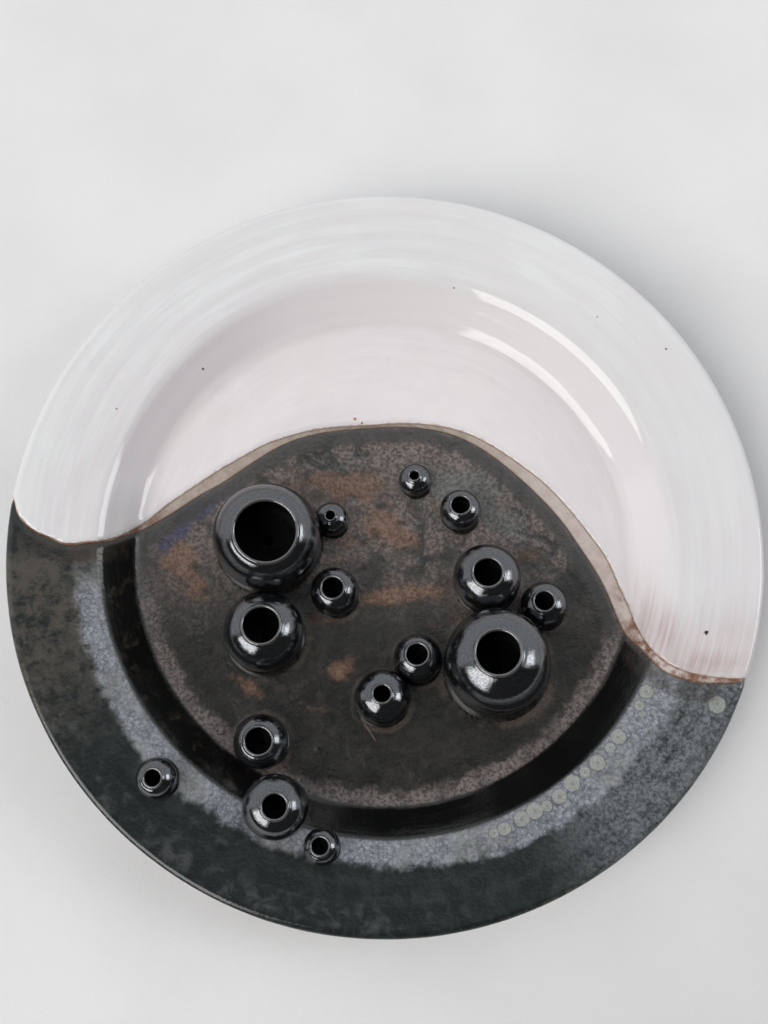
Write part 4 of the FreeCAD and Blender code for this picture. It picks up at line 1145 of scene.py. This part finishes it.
# where the coat breaks thin: a granular tan ring round the edge of the floor
tan_w = g.f("ADD", 100.5, g.f("MULTIPLY", g.smooth(n_mid, 0.35, 0.7), 4.0))
tan_m = g.f("MULTIPLY", g.smooth(g.f("SUBTRACT", r, tan_w), 0.0, 4.5), g.smooth(r, 111.6, 110.4))
tan_m = g.f("MULTIPLY", tan_m, g.f("MULTIPLY", g.band(a, 188.0, 352.0, 7.0, 9.0), g.smooth(g.noise(p, 0.07, 3.0, 0.6), 0.36, 0.56, 0.45, 1.0)))
gritty = g.smooth(g.f("ADD", n_fine, g.f("MULTIPLY", grain, 0.35)), 0.50, 0.72)
tan_c = g.mix(gritty, (0.086, 0.071, 0.065), (0.225, 0.188, 0.178))
col = g.mix(g.f("MULTIPLY", tan_m, 0.82), col, tan_c)
# tan halos round the seams: a painted reflection of the window in the glaze rising to the cups
halo_reflection = g.f("MULTIPLY", g.smooth(g.f("ADD", gap_rel, g.f("MULTIPLY", g.f("SUBTRACT", n_mid, 0.5), 0.30)), 0.20, 0.02),
           g.smooth(n_big, 0.40, 0.60))
col = g.mix(g.f("MULTIPLY", halo_reflection, 0.55), col, (0.125, 0.098, 0.078))
spk = g.smooth(g.f("ADD", g.f("MULTIPLY", n_fine, 0.6), g.f("MULTIPLY", grain, 0.45)), 0.44, 0.62)
col = g.mix(g.f("MULTIPLY", g.f("SUBTRACT", 1.0, spk), 0.55), col, (0.0075, 0.0075, 0.0070))
spk2 = g.smooth(grain, 0.56, 0.74)
col = g.mix(g.f("MULTIPLY", spk2, g.f("ADD", 0.12, g.f("MULTIPLY", upper, 0.22))), col, (0.150, 0.140, 0.125))
# thick, smooth roll just inside the pour line
roll = g.f("MULTIPLY", g.band(g.f("ADD", pour, g.f("MULTIPLY", g.f("SUBTRACT", n_mid, 0.5), 5.0)), 0.6, 7.5, 0.5, 1.6),
           g.smooth(r, 113.0, 104.0))
col = g.mix(g.f("MULTIPLY", roll, 0.85), col, (0.034, 0.033, 0.0315))

# wall: almost black, with faint brown painted reflections on its left part
wall_c = g.mix(g.f("MULTIPLY", g.smooth(n_mid, 0.50, 0.72), g.band(a, 178.0, 246.0, 8.0, 14.0)),
               (0.0055, 0.0057, 0.0055), (0.034, 0.028, 0.021))
# flange: green-black, with mottled brown painted reflections to the left
fl = g.mix(g.smooth(n_mid, 0.40, 0.70), (0.0110, 0.0150, 0.0150), (0.0235, 0.0295, 0.0290))
flange_reflection = g.f("MULTIPLY", g.band(a, 180.0, 206.0, 4.0, 14.0),
         g.smooth(g.f("ADD", n_mid, g.f("MULTIPLY", n_fine, 0.35)), 0.50, 0.78))
fl = g.mix(g.f("MULTIPLY", flange_reflection, 0.75), fl, (0.085, 0.073, 0.060))
outer = g.f("MULTIPLY", g.band(r, 152.0, 162.5, 4.0, 1.5), g.smooth(n_mid, 0.50, 0.68))
fl = g.mix(g.f("MULTIPLY", g.f("MULTIPLY", outer, g.band(a, 192.0, 275.0, 8.0, 12.0)), 0.55), fl, (0.070, 0.072, 0.078))
# blue-grey wash on the right flange, drawn round in streaks
right = g.f("MULTIPLY", g.band(a, 303.0, 342.0, 10.0, 4.0),
            g.smooth(g.f("ADD", g.f("ADD", g.f("MULTIPLY", ring, 0.45), g.f("MULTIPLY", n_fine, 0.55)), g.f("MULTIPLY", n_mid, 0.5)), 0.50, 0.88))
fl = g.mix(g.f("MULTIPLY", right, 0.85), fl, g.mix(g.smooth(g.f("ADD", g.f("MULTIPLY", n_fine, 0.55), g.f("MULTIPLY", grain, 0.45)), 0.42, 0.58), (0.088, 0.100, 0.115), (0.190, 0.200, 0.210)))
# milky band along the shoulder
tongue = g.f("MULTIPLY", g.f("SUBTRACT", g.f("ADD", g.f("MULTIPLY", n_mid, 0.7), g.f("MULTIPLY", n_big, 0.6)), 0.65), 12.0)
spread = g.f("ADD", 135.5, g.f("MULTIPLY", g.band(a, 284.0, 344.0, 14.0, 3.0), 4.5))
milk = g.f("MULTIPLY", g.smooth(g.f("ADD", r, g.f("MULTIPLY", g.f("SUBTRACT", n_fine, 0.5), 0.8)), 124.3, 125.8),
           g.smooth(g.f("SUBTRACT", g.f("ADD", spread, tongue), r), -2.2, 2.0))
milk = g.f("MULTIPLY", milk, g.band(a, 186.0, 343.5, 4.5, 1.6))
crack = g.cells(p, 0.30, "DISTANCE_TO_EDGE", 0.95)
crack = g.smooth(crack, 0.0, 0.075, 0.0, 1.0)
milk_c = g.mix(g.smooth(n_fine, 0.34, 0.68), (0.150, 0.162, 0.192), (0.325, 0.342, 0.375))
milk_c = g.mix(g.f("MULTIPLY", g.f("SUBTRACT", 1.0, crack), 0.60), milk_c, (0.060, 0.066, 0.085))
milk_c = g.mix(g.f("MULTIPLY", g.smooth(n_big, 0.42, 0.62), 0.45), milk_c, (0.235, 0.240, 0.222))
fl = g.mix(g.f("MULTIPLY", milk, g.f("ADD", 0.55, g.f("MULTIPLY", g.smooth(n_mid, 0.3, 0.6), 0.4))), fl, milk_c)
# pale rosettes floating in it to the right
rose = g.cells(p, 0.205, "F1", 0.75)
rose_n = g.f("ADD", rose, g.f("MULTIPLY", g.f("SUBTRACT", grain, 0.5), 0.12))
rose_m = g.f("MULTIPLY", g.smooth(rose_n, 0.34, 0.22), g.band(r, 128.5, 136.5, 2.0, 3.0))
rose_m = g.f("MULTIPLY", rose_m, g.band(a, 281.0, 338.0, 9.0, 5.0))
fl = g.mix(g.f("MULTIPLY", rose_m, 0.62), fl, (0.275, 0.280, 0.250))
rose_r = g.f("MULTIPLY", g.band(rose_n, 0.40, 0.47, 0.035, 0.035), g.f("MULTIPLY", g.band(r, 128.5, 137.0, 2.0, 3.0), g.band(a, 281.0, 338.0, 9.0, 5.0)))
fl = g.mix(g.f("MULTIPLY", rose_r, 0.5), fl, (0.060, 0.075, 0.100))
near = None
for bx_, by_, br_ in ((111.4, -63.1, 3.0), (108.1, -69.0, 2.2), (98.7, -82.2, 3.3), (89.3, -93.1, 3.4),
                      (78.3, -101.5, 3.6), (72.8, -107.0, 3.2), (67.4, -111.0, 2.4), (62.4, -112.9, 3.6),
                      (56.7, -116.3, 3.4), (49.4, -120.3, 2.8), (45.0, -122.1, 2.0), (140.7, -68.7, 3.8),
                      (94.9, -86.9, 2.2), (83.9, -97.0, 2.4)):
    q = g.f("DIVIDE", g.v("DISTANCE", g.xyz(x, y, 0.0), (bx_, by_, 0.0)), br_)
    near = q if near is None else g.f("MINIMUM", near, q)
near = g.f("ADD", near, g.f("MULTIPLY", g.f("SUBTRACT", n_fine, 0.5), 0.7))
fl = g.mix(g.f("MULTIPLY", g.smooth(near, 1.02, 0.86), 0.80), fl, g.mix(g.smooth(grain, 0.40, 0.62), (0.215, 0.230, 0.215), (0.370, 0.375, 0.330)))
fl = g.mix(g.f("MULTIPLY", g.band(near, 0.98, 1.12, 0.07, 0.08), 0.55), fl, (0.055, 0.066, 0.085))
fl = g.mix(g.f("MULTIPLY", g.smooth(near, 0.30, 0.12), 0.5), fl, (0.130, 0.140, 0.130))
# lip: the coat pulls thin and goes brown, then black
lipb = g.f("MULTIPLY", g.smooth(r, 162.6, 164.2), g.smooth(n_fine, 0.42, 0.62))
fl = g.mix(g.f("MULTIPLY", lipb, g.f("ADD", 0.10, g.f("MULTIPLY", g.band(a, 290.0, 326.0, 8.0, 8.0), 0.6))), fl, (0.115, 0.095, 0.076))
body = g.mix(g.smooth(g.f("ADD", r, g.f("MULTIPLY", g.f("SUBTRACT", n_mid, 0.5), 1.6)), 109.8, 112.4), col, wall_c)
body = g.mix(g.smooth(r, 123.6, 125.6), body, fl)
# brown margin beside the pour line outside the well, and the rusty edge itself
marg = g.f("MULTIPLY", g.band(pour, 0.4, 8.0, 0.5, 2.0), g.f("MULTIPLY", g.smooth(r, 110.0, 118.0), g.smooth(r, 158.5, 153.0)))
body = g.mix(g.f("MULTIPLY", marg, g.f("MULTIPLY", g.smooth(n_mid, 0.3, 0.6), 0.7)), body, (0.030, 0.022, 0.017))
rust_reach = g.f("ADD", 0.4, g.f("MULTIPLY", g.smooth(n_fine, 0.40, 0.72), 2.0))
rust = g.f("MULTIPLY", g.smooth(g.f("DIVIDE", pour, rust_reach), 1.0, 0.25), g.smooth(r, 162.5, 159.0, 0.12, 1.0))
body = g.mix(g.f("MULTIPLY", rust, 0.75), body, g.mix(g.smooth(x, 70.0, 105.0), (0.042, 0.027, 0.017), (0.095, 0.052, 0.030)))
# fine pits with a pale rim
pit = g.cells(p, 0.33)
pit_pick = g.smooth(g.f("ADD", g.noise(p, 0.09, 2.0), g.f("MULTIPLY", g.f("MULTIPLY", upper, floor), 0.08)), 0.55, 0.61)
pit_m = g.f("MULTIPLY", g.smooth(g.f("ADD", pit, g.f("MULTIPLY", g.f("SUBTRACT", grain, 0.5), 0.06)), 0.10, 0.05), pit_pick)
body = g.mix(g.f("MULTIPLY", pit_m, 0.7), body, (0.006, 0.006, 0.006))
ps = g.cells(p, 0.21)
ps_m = g.f("MULTIPLY", g.smooth(ps, 0.040, 0.018), g.smooth(g.noise(p, 0.06, 2.0), 0.44, 0.55))
body = g.mix(g.f("MULTIPLY", ps_m, 0.6), body, (0.20, 0.18, 0.16))
# one thin pale scratch
sc = g.node("ShaderNodeMath", operation="ABSOLUTE")
g.put(sc.inputs[0], g.f("ADD", g.f("MULTIPLY", g.f("ADD", x, 10.8), 0.837),
                        g.f("MULTIPLY", g.f("ADD", y, 73.1), 0.546)))
tpos = g.f("ADD", g.f("MULTIPLY", g.f("ADD", x, 10.8), 0.546), g.f("MULTIPLY", g.f("ADD", y, 73.1), -0.837))
scr = g.f("MULTIPLY", g.smooth(g.f("ADD", sc.outputs[0], g.f("MULTIPLY", g.f("SUBTRACT", n_fine, 0.5), 0.5)), 0.34, 0.12),
          g.band(tpos, 0.0, 11.4, 0.5, 0.5))
body = g.mix(g.f("MULTIPLY", scr, 0.75), body, (0.24, 0.17, 0.15))
# satin on the well floor, glass-bright elsewhere
sat = g.f("MULTIPLY", g.smooth(r, 112.0, 108.0), g.lerp(g.smooth(n_mid, 0.35, 0.7), 0.12, 0.28))
ruf = g.f("ADD", 0.055, sat)
ruf = g.lerp(g.f("MULTIPLY", roll, 0.8), ruf, 0.15)
ruf = g.lerp(g.f("MULTIPLY", milk, 0.7), ruf, 0.20)
ruf = g.f("ADD", ruf, g.f("MULTIPLY", g.f("SUBTRACT", n_fine, 0.5), 0.05))
nor = g.bump(n_fine, 0.16, 0.0007)
nor = g.bump(grain, g.f("MULTIPLY", floor, 0.22), 0.0004, nor)
nor = g.bump(pools, g.f("MULTIPLY", floor, 0.30), 0.0022, nor)
nor = g.bump(g.f("SUBTRACT", 1.0, pit_m), 0.5, 0.0003, nor)
iorv = g.lerp(floor, 1.50, g.lerp(upper, 1.46, 1.62))
tint = g.mix(mott, (1.0, 1.0, 1.0), (1.0, 0.86, 0.74))
g.surface(body, ruf, iorv, nor, spec_tint=tint)

# -------------------------------------------------------------- cup glaze
mat_cup, g = material("gunmetal_cup_glaze")
p, x, y, z, r, cx, cy, a = g.place()
inner, lip, up = g.attr("inner"), g.attr("lip"), g.attr("up")
n_mid = g.noise(p, 0.35, 4.0, 0.6)
n_fine = g.noise(p, 1.25, 4.0, 0.65)
grain = g.noise(p, 3.4, 2.0, 0.5)
col = g.mix(g.smooth(n_mid, 0.35, 0.7), (0.0028, 0.0030, 0.0034), (0.0068, 0.0072, 0.0078))
col = g.mix(g.f("MULTIPLY", g.smooth(n_fine, 0.48, 0.72), 0.35), col, (0.018, 0.021, 0.027))
# the lip breaks to a lighter, browner grey
col = g.mix(g.f("MULTIPLY", lip, 0.65), col, (0.085, 0.080, 0.076))
# browner low on each cup: a painted reflection of the brown floor around it
low = g.smooth(up, 0.34, 0.12)
col = g.mix(g.f("MULTIPLY", low, g.smooth(n_mid, 0.45, 0.65)), col, (0.050, 0.040, 0.031))
# black inside, with copper patches that are a painted glint
inside_c = g.mix(g.smooth(n_mid, 0.64, 0.76), (0.0022, 0.0022, 0.0022), (0.050, 0.027, 0.016))
col = g.mix(inner, col, inside_c)
ruf = g.lerp(g.smooth(n_fine, 0.35, 0.75), 0.030, 0.085)
ruf = g.lerp(inner, ruf, 0.60)
iorv = g.lerp(inner, 2.35, 1.30)
nor = g.bump(n_fine, 0.11, 0.00045)
nor = g.bump(grain, 0.06, 0.0002, nor)
tint = g.mix(g.smooth(n_mid, 0.4, 0.65), (0.93, 0.97, 1.0), (1.0, 0.99, 0.97))
tint = g.mix(g.f("MULTIPLY", g.smooth(n_fine, 0.42, 0.58), 0.66), tint, (0.50, 0.55, 0.66))
tint = g.mix(g.f("MULTIPLY", g.smooth(grain, 0.50, 0.66), 0.25), tint, (0.40, 0.42, 0.48))
g.surface(col, ruf, iorv, nor, spec_tint=tint)

# ------------------------------------------------------------- seam glaze
mat_seam, g = material("luted_seam_glaze")
p, x, y, z, r, cx, cy, a = g.place()
along = g.attr("along")
n_mid = g.noise(p, 0.22, 4.0, 0.6)
n_fine = g.noise(p, 0.9, 4.0, 0.65)
col = g.mix(g.smooth(n_mid, 0.38, 0.66), (0.0050, 0.0050, 0.0050), (0.014, 0.013, 0.012))
col = g.mix(g.f("MULTIPLY", g.smooth(n_mid, 0.46, 0.70), g.f("MULTIPLY", g.smooth(along, 0.80, 1.0), 0.6)), col, (0.090, 0.070, 0.054))
col = g.mix(g.f("MULTIPLY", g.smooth(n_fine, 0.55, 0.75), 0.3), col, (0.036, 0.037, 0.037))
ruf = g.lerp(g.smooth(n_fine, 0.3, 0.7), 0.16, 0.32)
nor = g.bump(n_fine, 0.14, 0.0005)
g.surface(col, ruf, 1.50, nor, level=0.28)

# -------------------------------------------------------------- bare clay
mat_clay, g = material("bare_stoneware")
p, x, y, z, r, cx, cy, a = g.place()
seam, base, along = g.attr("seam"), g.attr("base"), g.attr("along")
n_mid = g.noise(p, 0.20, 5.0, 0.6)
n_fine = g.noise(p, 1.1, 4.0, 0.7)
grain = g.noise(p, 3.2, 3.0, 0.6)
turn = streaks(g, cx, cy, along, 5.0, 0.9, 4.0, 0.6)
side_x = g.smooth(x, 30.0, 85.0)
pale = g.mix(g.smooth(n_mid, 0.35, 0.7), g.mix(side_x, (0.385, 0.322, 0.278), (0.520, 0.445, 0.415)), g.mix(side_x, (0.290, 0.238, 0.198), (0.440, 0.362, 0.330)))
pale = g.mix(g.f("MULTIPLY", g.smooth(n_fine, 0.55, 0.75), 0.35), pale, (0.23, 0.17, 0.13))
buff = g.mix(g.smooth(turn, 0.38, 0.66), (0.400, 0.315, 0.235), (0.300, 0.222, 0.155))
buff = g.mix(g.f("MULTIPLY", g.smooth(n_mid, 0.55, 0.72), 0.35), buff, (0.22, 0.145, 0.095))
fleck = g.cells(p, 0.55)
fleck = g.f("MULTIPLY", g.smooth(fleck, 0.16, 0.08), g.smooth(g.noise(p, 0.25, 2.0), 0.48, 0.60))
col = g.mix(base, pale, buff)
col = g.mix(g.f("MULTIPLY", fleck, 0.65), col, (0.090, 0.055, 0.035))
rr = g.f("ADD", seam, g.f("MULTIPLY", g.f("SUBTRACT", n_fine, 0.5), 1.6))
rim = g.f("MULTIPLY", g.smooth(rr, 0.8, 0.1), g.smooth(base, 0.6, 0.2))
col = g.mix(g.f("MULTIPLY", rim, 0.65), col, (0.150, 0.098, 0.064))
# rust where the bare strip narrows at both ends
ends = g.f("MAXIMUM", g.smooth(x, 98.0, 112.0), g.smooth(x, -92.0, -112.0))
col = g.mix(g.f("MULTIPLY", g.f("MULTIPLY", ends, g.smooth(n_mid, 0.35, 0.6)), g.smooth(base, 0.6, 0.2)),
            col, (0.165, 0.072, 0.038))
foot_ring = g.smooth(z, 4.4, 3.4)
col = g.mix(g.f("MULTIPLY", foot_ring, 0.35), col, (0.24, 0.165, 0.110))
ruf = g.lerp(g.smooth(n_mid, 0.3, 0.7), 0.55, 0.78)
nor = g.bump(grain, 0.30, 0.0003)
nor = g.bump(turn, g.f("MULTIPLY", base, 0.35), 0.0006, nor)
g.surface(col, ruf, 1.45, nor)

# ------------------------------------------------------------- the pieces
for ob, mat, slot in ((black, mat_black, "black_glaze"), (white, mat_white, "white_glaze"),
                      (dish, mat_clay, "stoneware"), (foot, mat_clay, "stoneware")):
    ob.data.materials.append(mat)
    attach(ob, "root")
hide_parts("black_glaze_coat")
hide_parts("white_glaze_coat")
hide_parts("dish_body")
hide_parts("foot_ring")
for c, ob, rg in zip(cups, cup_objects, ring_objects):
    ob.data.materials.append(mat_cup)
    rg.data.materials.append(mat_seam)
    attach(ob, "root")
    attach(rg, "root")
    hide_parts("stem_cup_%02d" % c.number)
    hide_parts("luting_ring_%02d" % c.number)
    lo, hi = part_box("stem_cup_%02d" % c.number)
    pts = np.array([v.co for v in ob.data.vertices])
    off = max(np.abs(pts.max(0) - np.array(hi)).max(), abs(pts[:, 0].min() - lo[0]),
              abs(pts[:, 1].min() - lo[1])) * 1000
    if off > 0.6:
        raise RuntimeError("cup %d is %.2f mm off its place in the frame" % (c.number, off))

# ---------------------------------------------------------------- the stage
floor_mesh = bpy.data.meshes.new("floor")
side = 3.0
floor_mesh.from_pydata([(-side, -side, 0), (side, -side, 0), (side, side, 0), (-side, side, 0)],
                       [], [(0, 1, 2, 3)])
floor_ob = bpy.data.objects.new("floor", floor_mesh)
bpy.context.scene.collection.objects.link(floor_ob)
floor_ob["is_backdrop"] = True
mat_floor, g = material("pale_cloth_floor")
p, x, y, z, r, cx, cy, a = g.place()
soft = g.noise(p, 0.012, 3.0, 0.5)
thread = g.noise(p, 1.1, 2.0, 0.5)
col = g.mix(g.smooth(soft, 0.35, 0.7), (0.765, 0.765, 0.768), (0.725, 0.725, 0.728))
col = g.mix(g.f("MULTIPLY", g.smooth(thread, 0.45, 0.7), 0.10), col, (0.66, 0.66, 0.66))
# painted fall-off of the light: the cloth darker toward the front right
painted_falloff = g.smooth(g.f("ADD", g.f("MULTIPLY", x, 0.62), g.f("MULTIPLY", y, -0.78)), 60.0, 330.0)
col = g.mix(g.f("MULTIPLY", painted_falloff, 0.55), col, (0.520, 0.520, 0.520))
nor = g.bump(thread, 0.25, 0.0005)
g.surface(col, 0.9, 1.4, nor, level=0.1)
floor_mesh.materials.append(mat_floor)

# ----------------------------------------------------------------- the light
world = bpy.data.worlds.new("studio")
bpy.context.scene.world = world
world.use_nodes = True
g = Graph(world.node_tree)
tc = g.node("ShaderNodeTexCoord")
d = g.v("NORMALIZE", tc.outputs["Generated"])
sep = g.node("ShaderNodeSeparateXYZ")
g.put(sep.inputs[0], d)
dx_, dy_, dz_ = sep.outputs
az_ = g.f("MULTIPLY", g.f("ARCTAN2", dy_, dx_), 180.0 / math.pi)
az_ = g.f("ADD", az_, g.f("MULTIPLY", g.f("LESS_THAN", az_, -90.0), 360.0))   # -90 .. 270
el_ = g.f("MULTIPLY", g.f("ARCSINE", dz_), 180.0 / math.pi)
# the pale room beyond the dish, from the right round the back to the left
room = g.band(az_, -4.0, 186.0, 1.2, 1.2)
room = g.f("MULTIPLY", room, g.smooth(el_, -1.0, 1.0))
# dark above, where the camera stands
over = g.v("DOT_PRODUCT", d, tuple(Vector((-0.05, 0.03, 1.0)).normalized()))
over = g.smooth(over, math.cos(rad(13.5)), math.cos(rad(10.5)))
room = g.f("MULTIPLY", room, g.f("SUBTRACT", 1.0, over))
val = g.f("ADD", 0.045, g.f("MULTIPLY", room, 0.775))
val = g.f("ADD", val, g.f("MULTIPLY", over, 0.10))
# tall soft window, front left
key = g.f("MULTIPLY", g.band(az_, 192.0, 246.0, 0.6, 0.6), g.band(el_, 23.0, 68.0, 0.8, 0.8))
val = g.f("ADD", val, g.f("MULTIPLY", key, 4.55))
# small one to the right
side_l = g.f("MULTIPLY", g.band(az_, -6.0, 17.0, 0.6, 0.6), g.band(el_, 19.0, 46.0, 0.8, 0.8))
val = g.f("ADD", val, g.f("MULTIPLY", side_l, 4.2))
shade = g.mix(room, (1.02, 1.0, 0.98), (0.975, 0.992, 1.02))
bgn = g.node("ShaderNodeBackground")
g.put(bgn.inputs[0], shade)
g.put(bgn.inputs[1], val)
seen = g.node("ShaderNodeBackground")
g.put(seen.inputs[0], (0.74, 0.74, 0.75))
g.put(seen.inputs[1], 1.0)
lp = g.node("ShaderNodeLightPath")
mixs = g.node("ShaderNodeMixShader")
g.put(mixs.inputs[0], lp.outputs["Is Camera Ray"])
g.t.links.new(bgn.outputs[0], mixs.inputs[1])
g.t.links.new(seen.outputs[0], mixs.inputs[2])
wo = g.node("ShaderNodeOutputWorld")
g.t.links.new(mixs.outputs[0], wo.inputs[0])

# ---------------------------------------------------------------- the camera
cam = bpy.data.cameras.new("view")
cam.lens, cam.sensor_width, cam.sensor_fit = 50.0, 36.0, "AUTO"
cam_ob = bpy.data.objects.new("view", cam)
bpy.context.scene.collection.objects.link(cam_ob)
R = Matrix(((0.99989776, 0.0, 0.01429951), (-0.00321540, 0.97439094, 0.22483764),
            (-0.01393332, -0.22486063, 0.97429131)))
cam_ob.matrix_world = Matrix.Translation(Vector((-0.009656, -0.125000, 0.637191))) @ R.transposed().to_4x4()
bpy.context.scene.camera = cam_ob
bpy.context.scene.view_settings.view_transform = "Standard"
bpy.context.scene.view_settings.look = "None"

lo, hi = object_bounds()
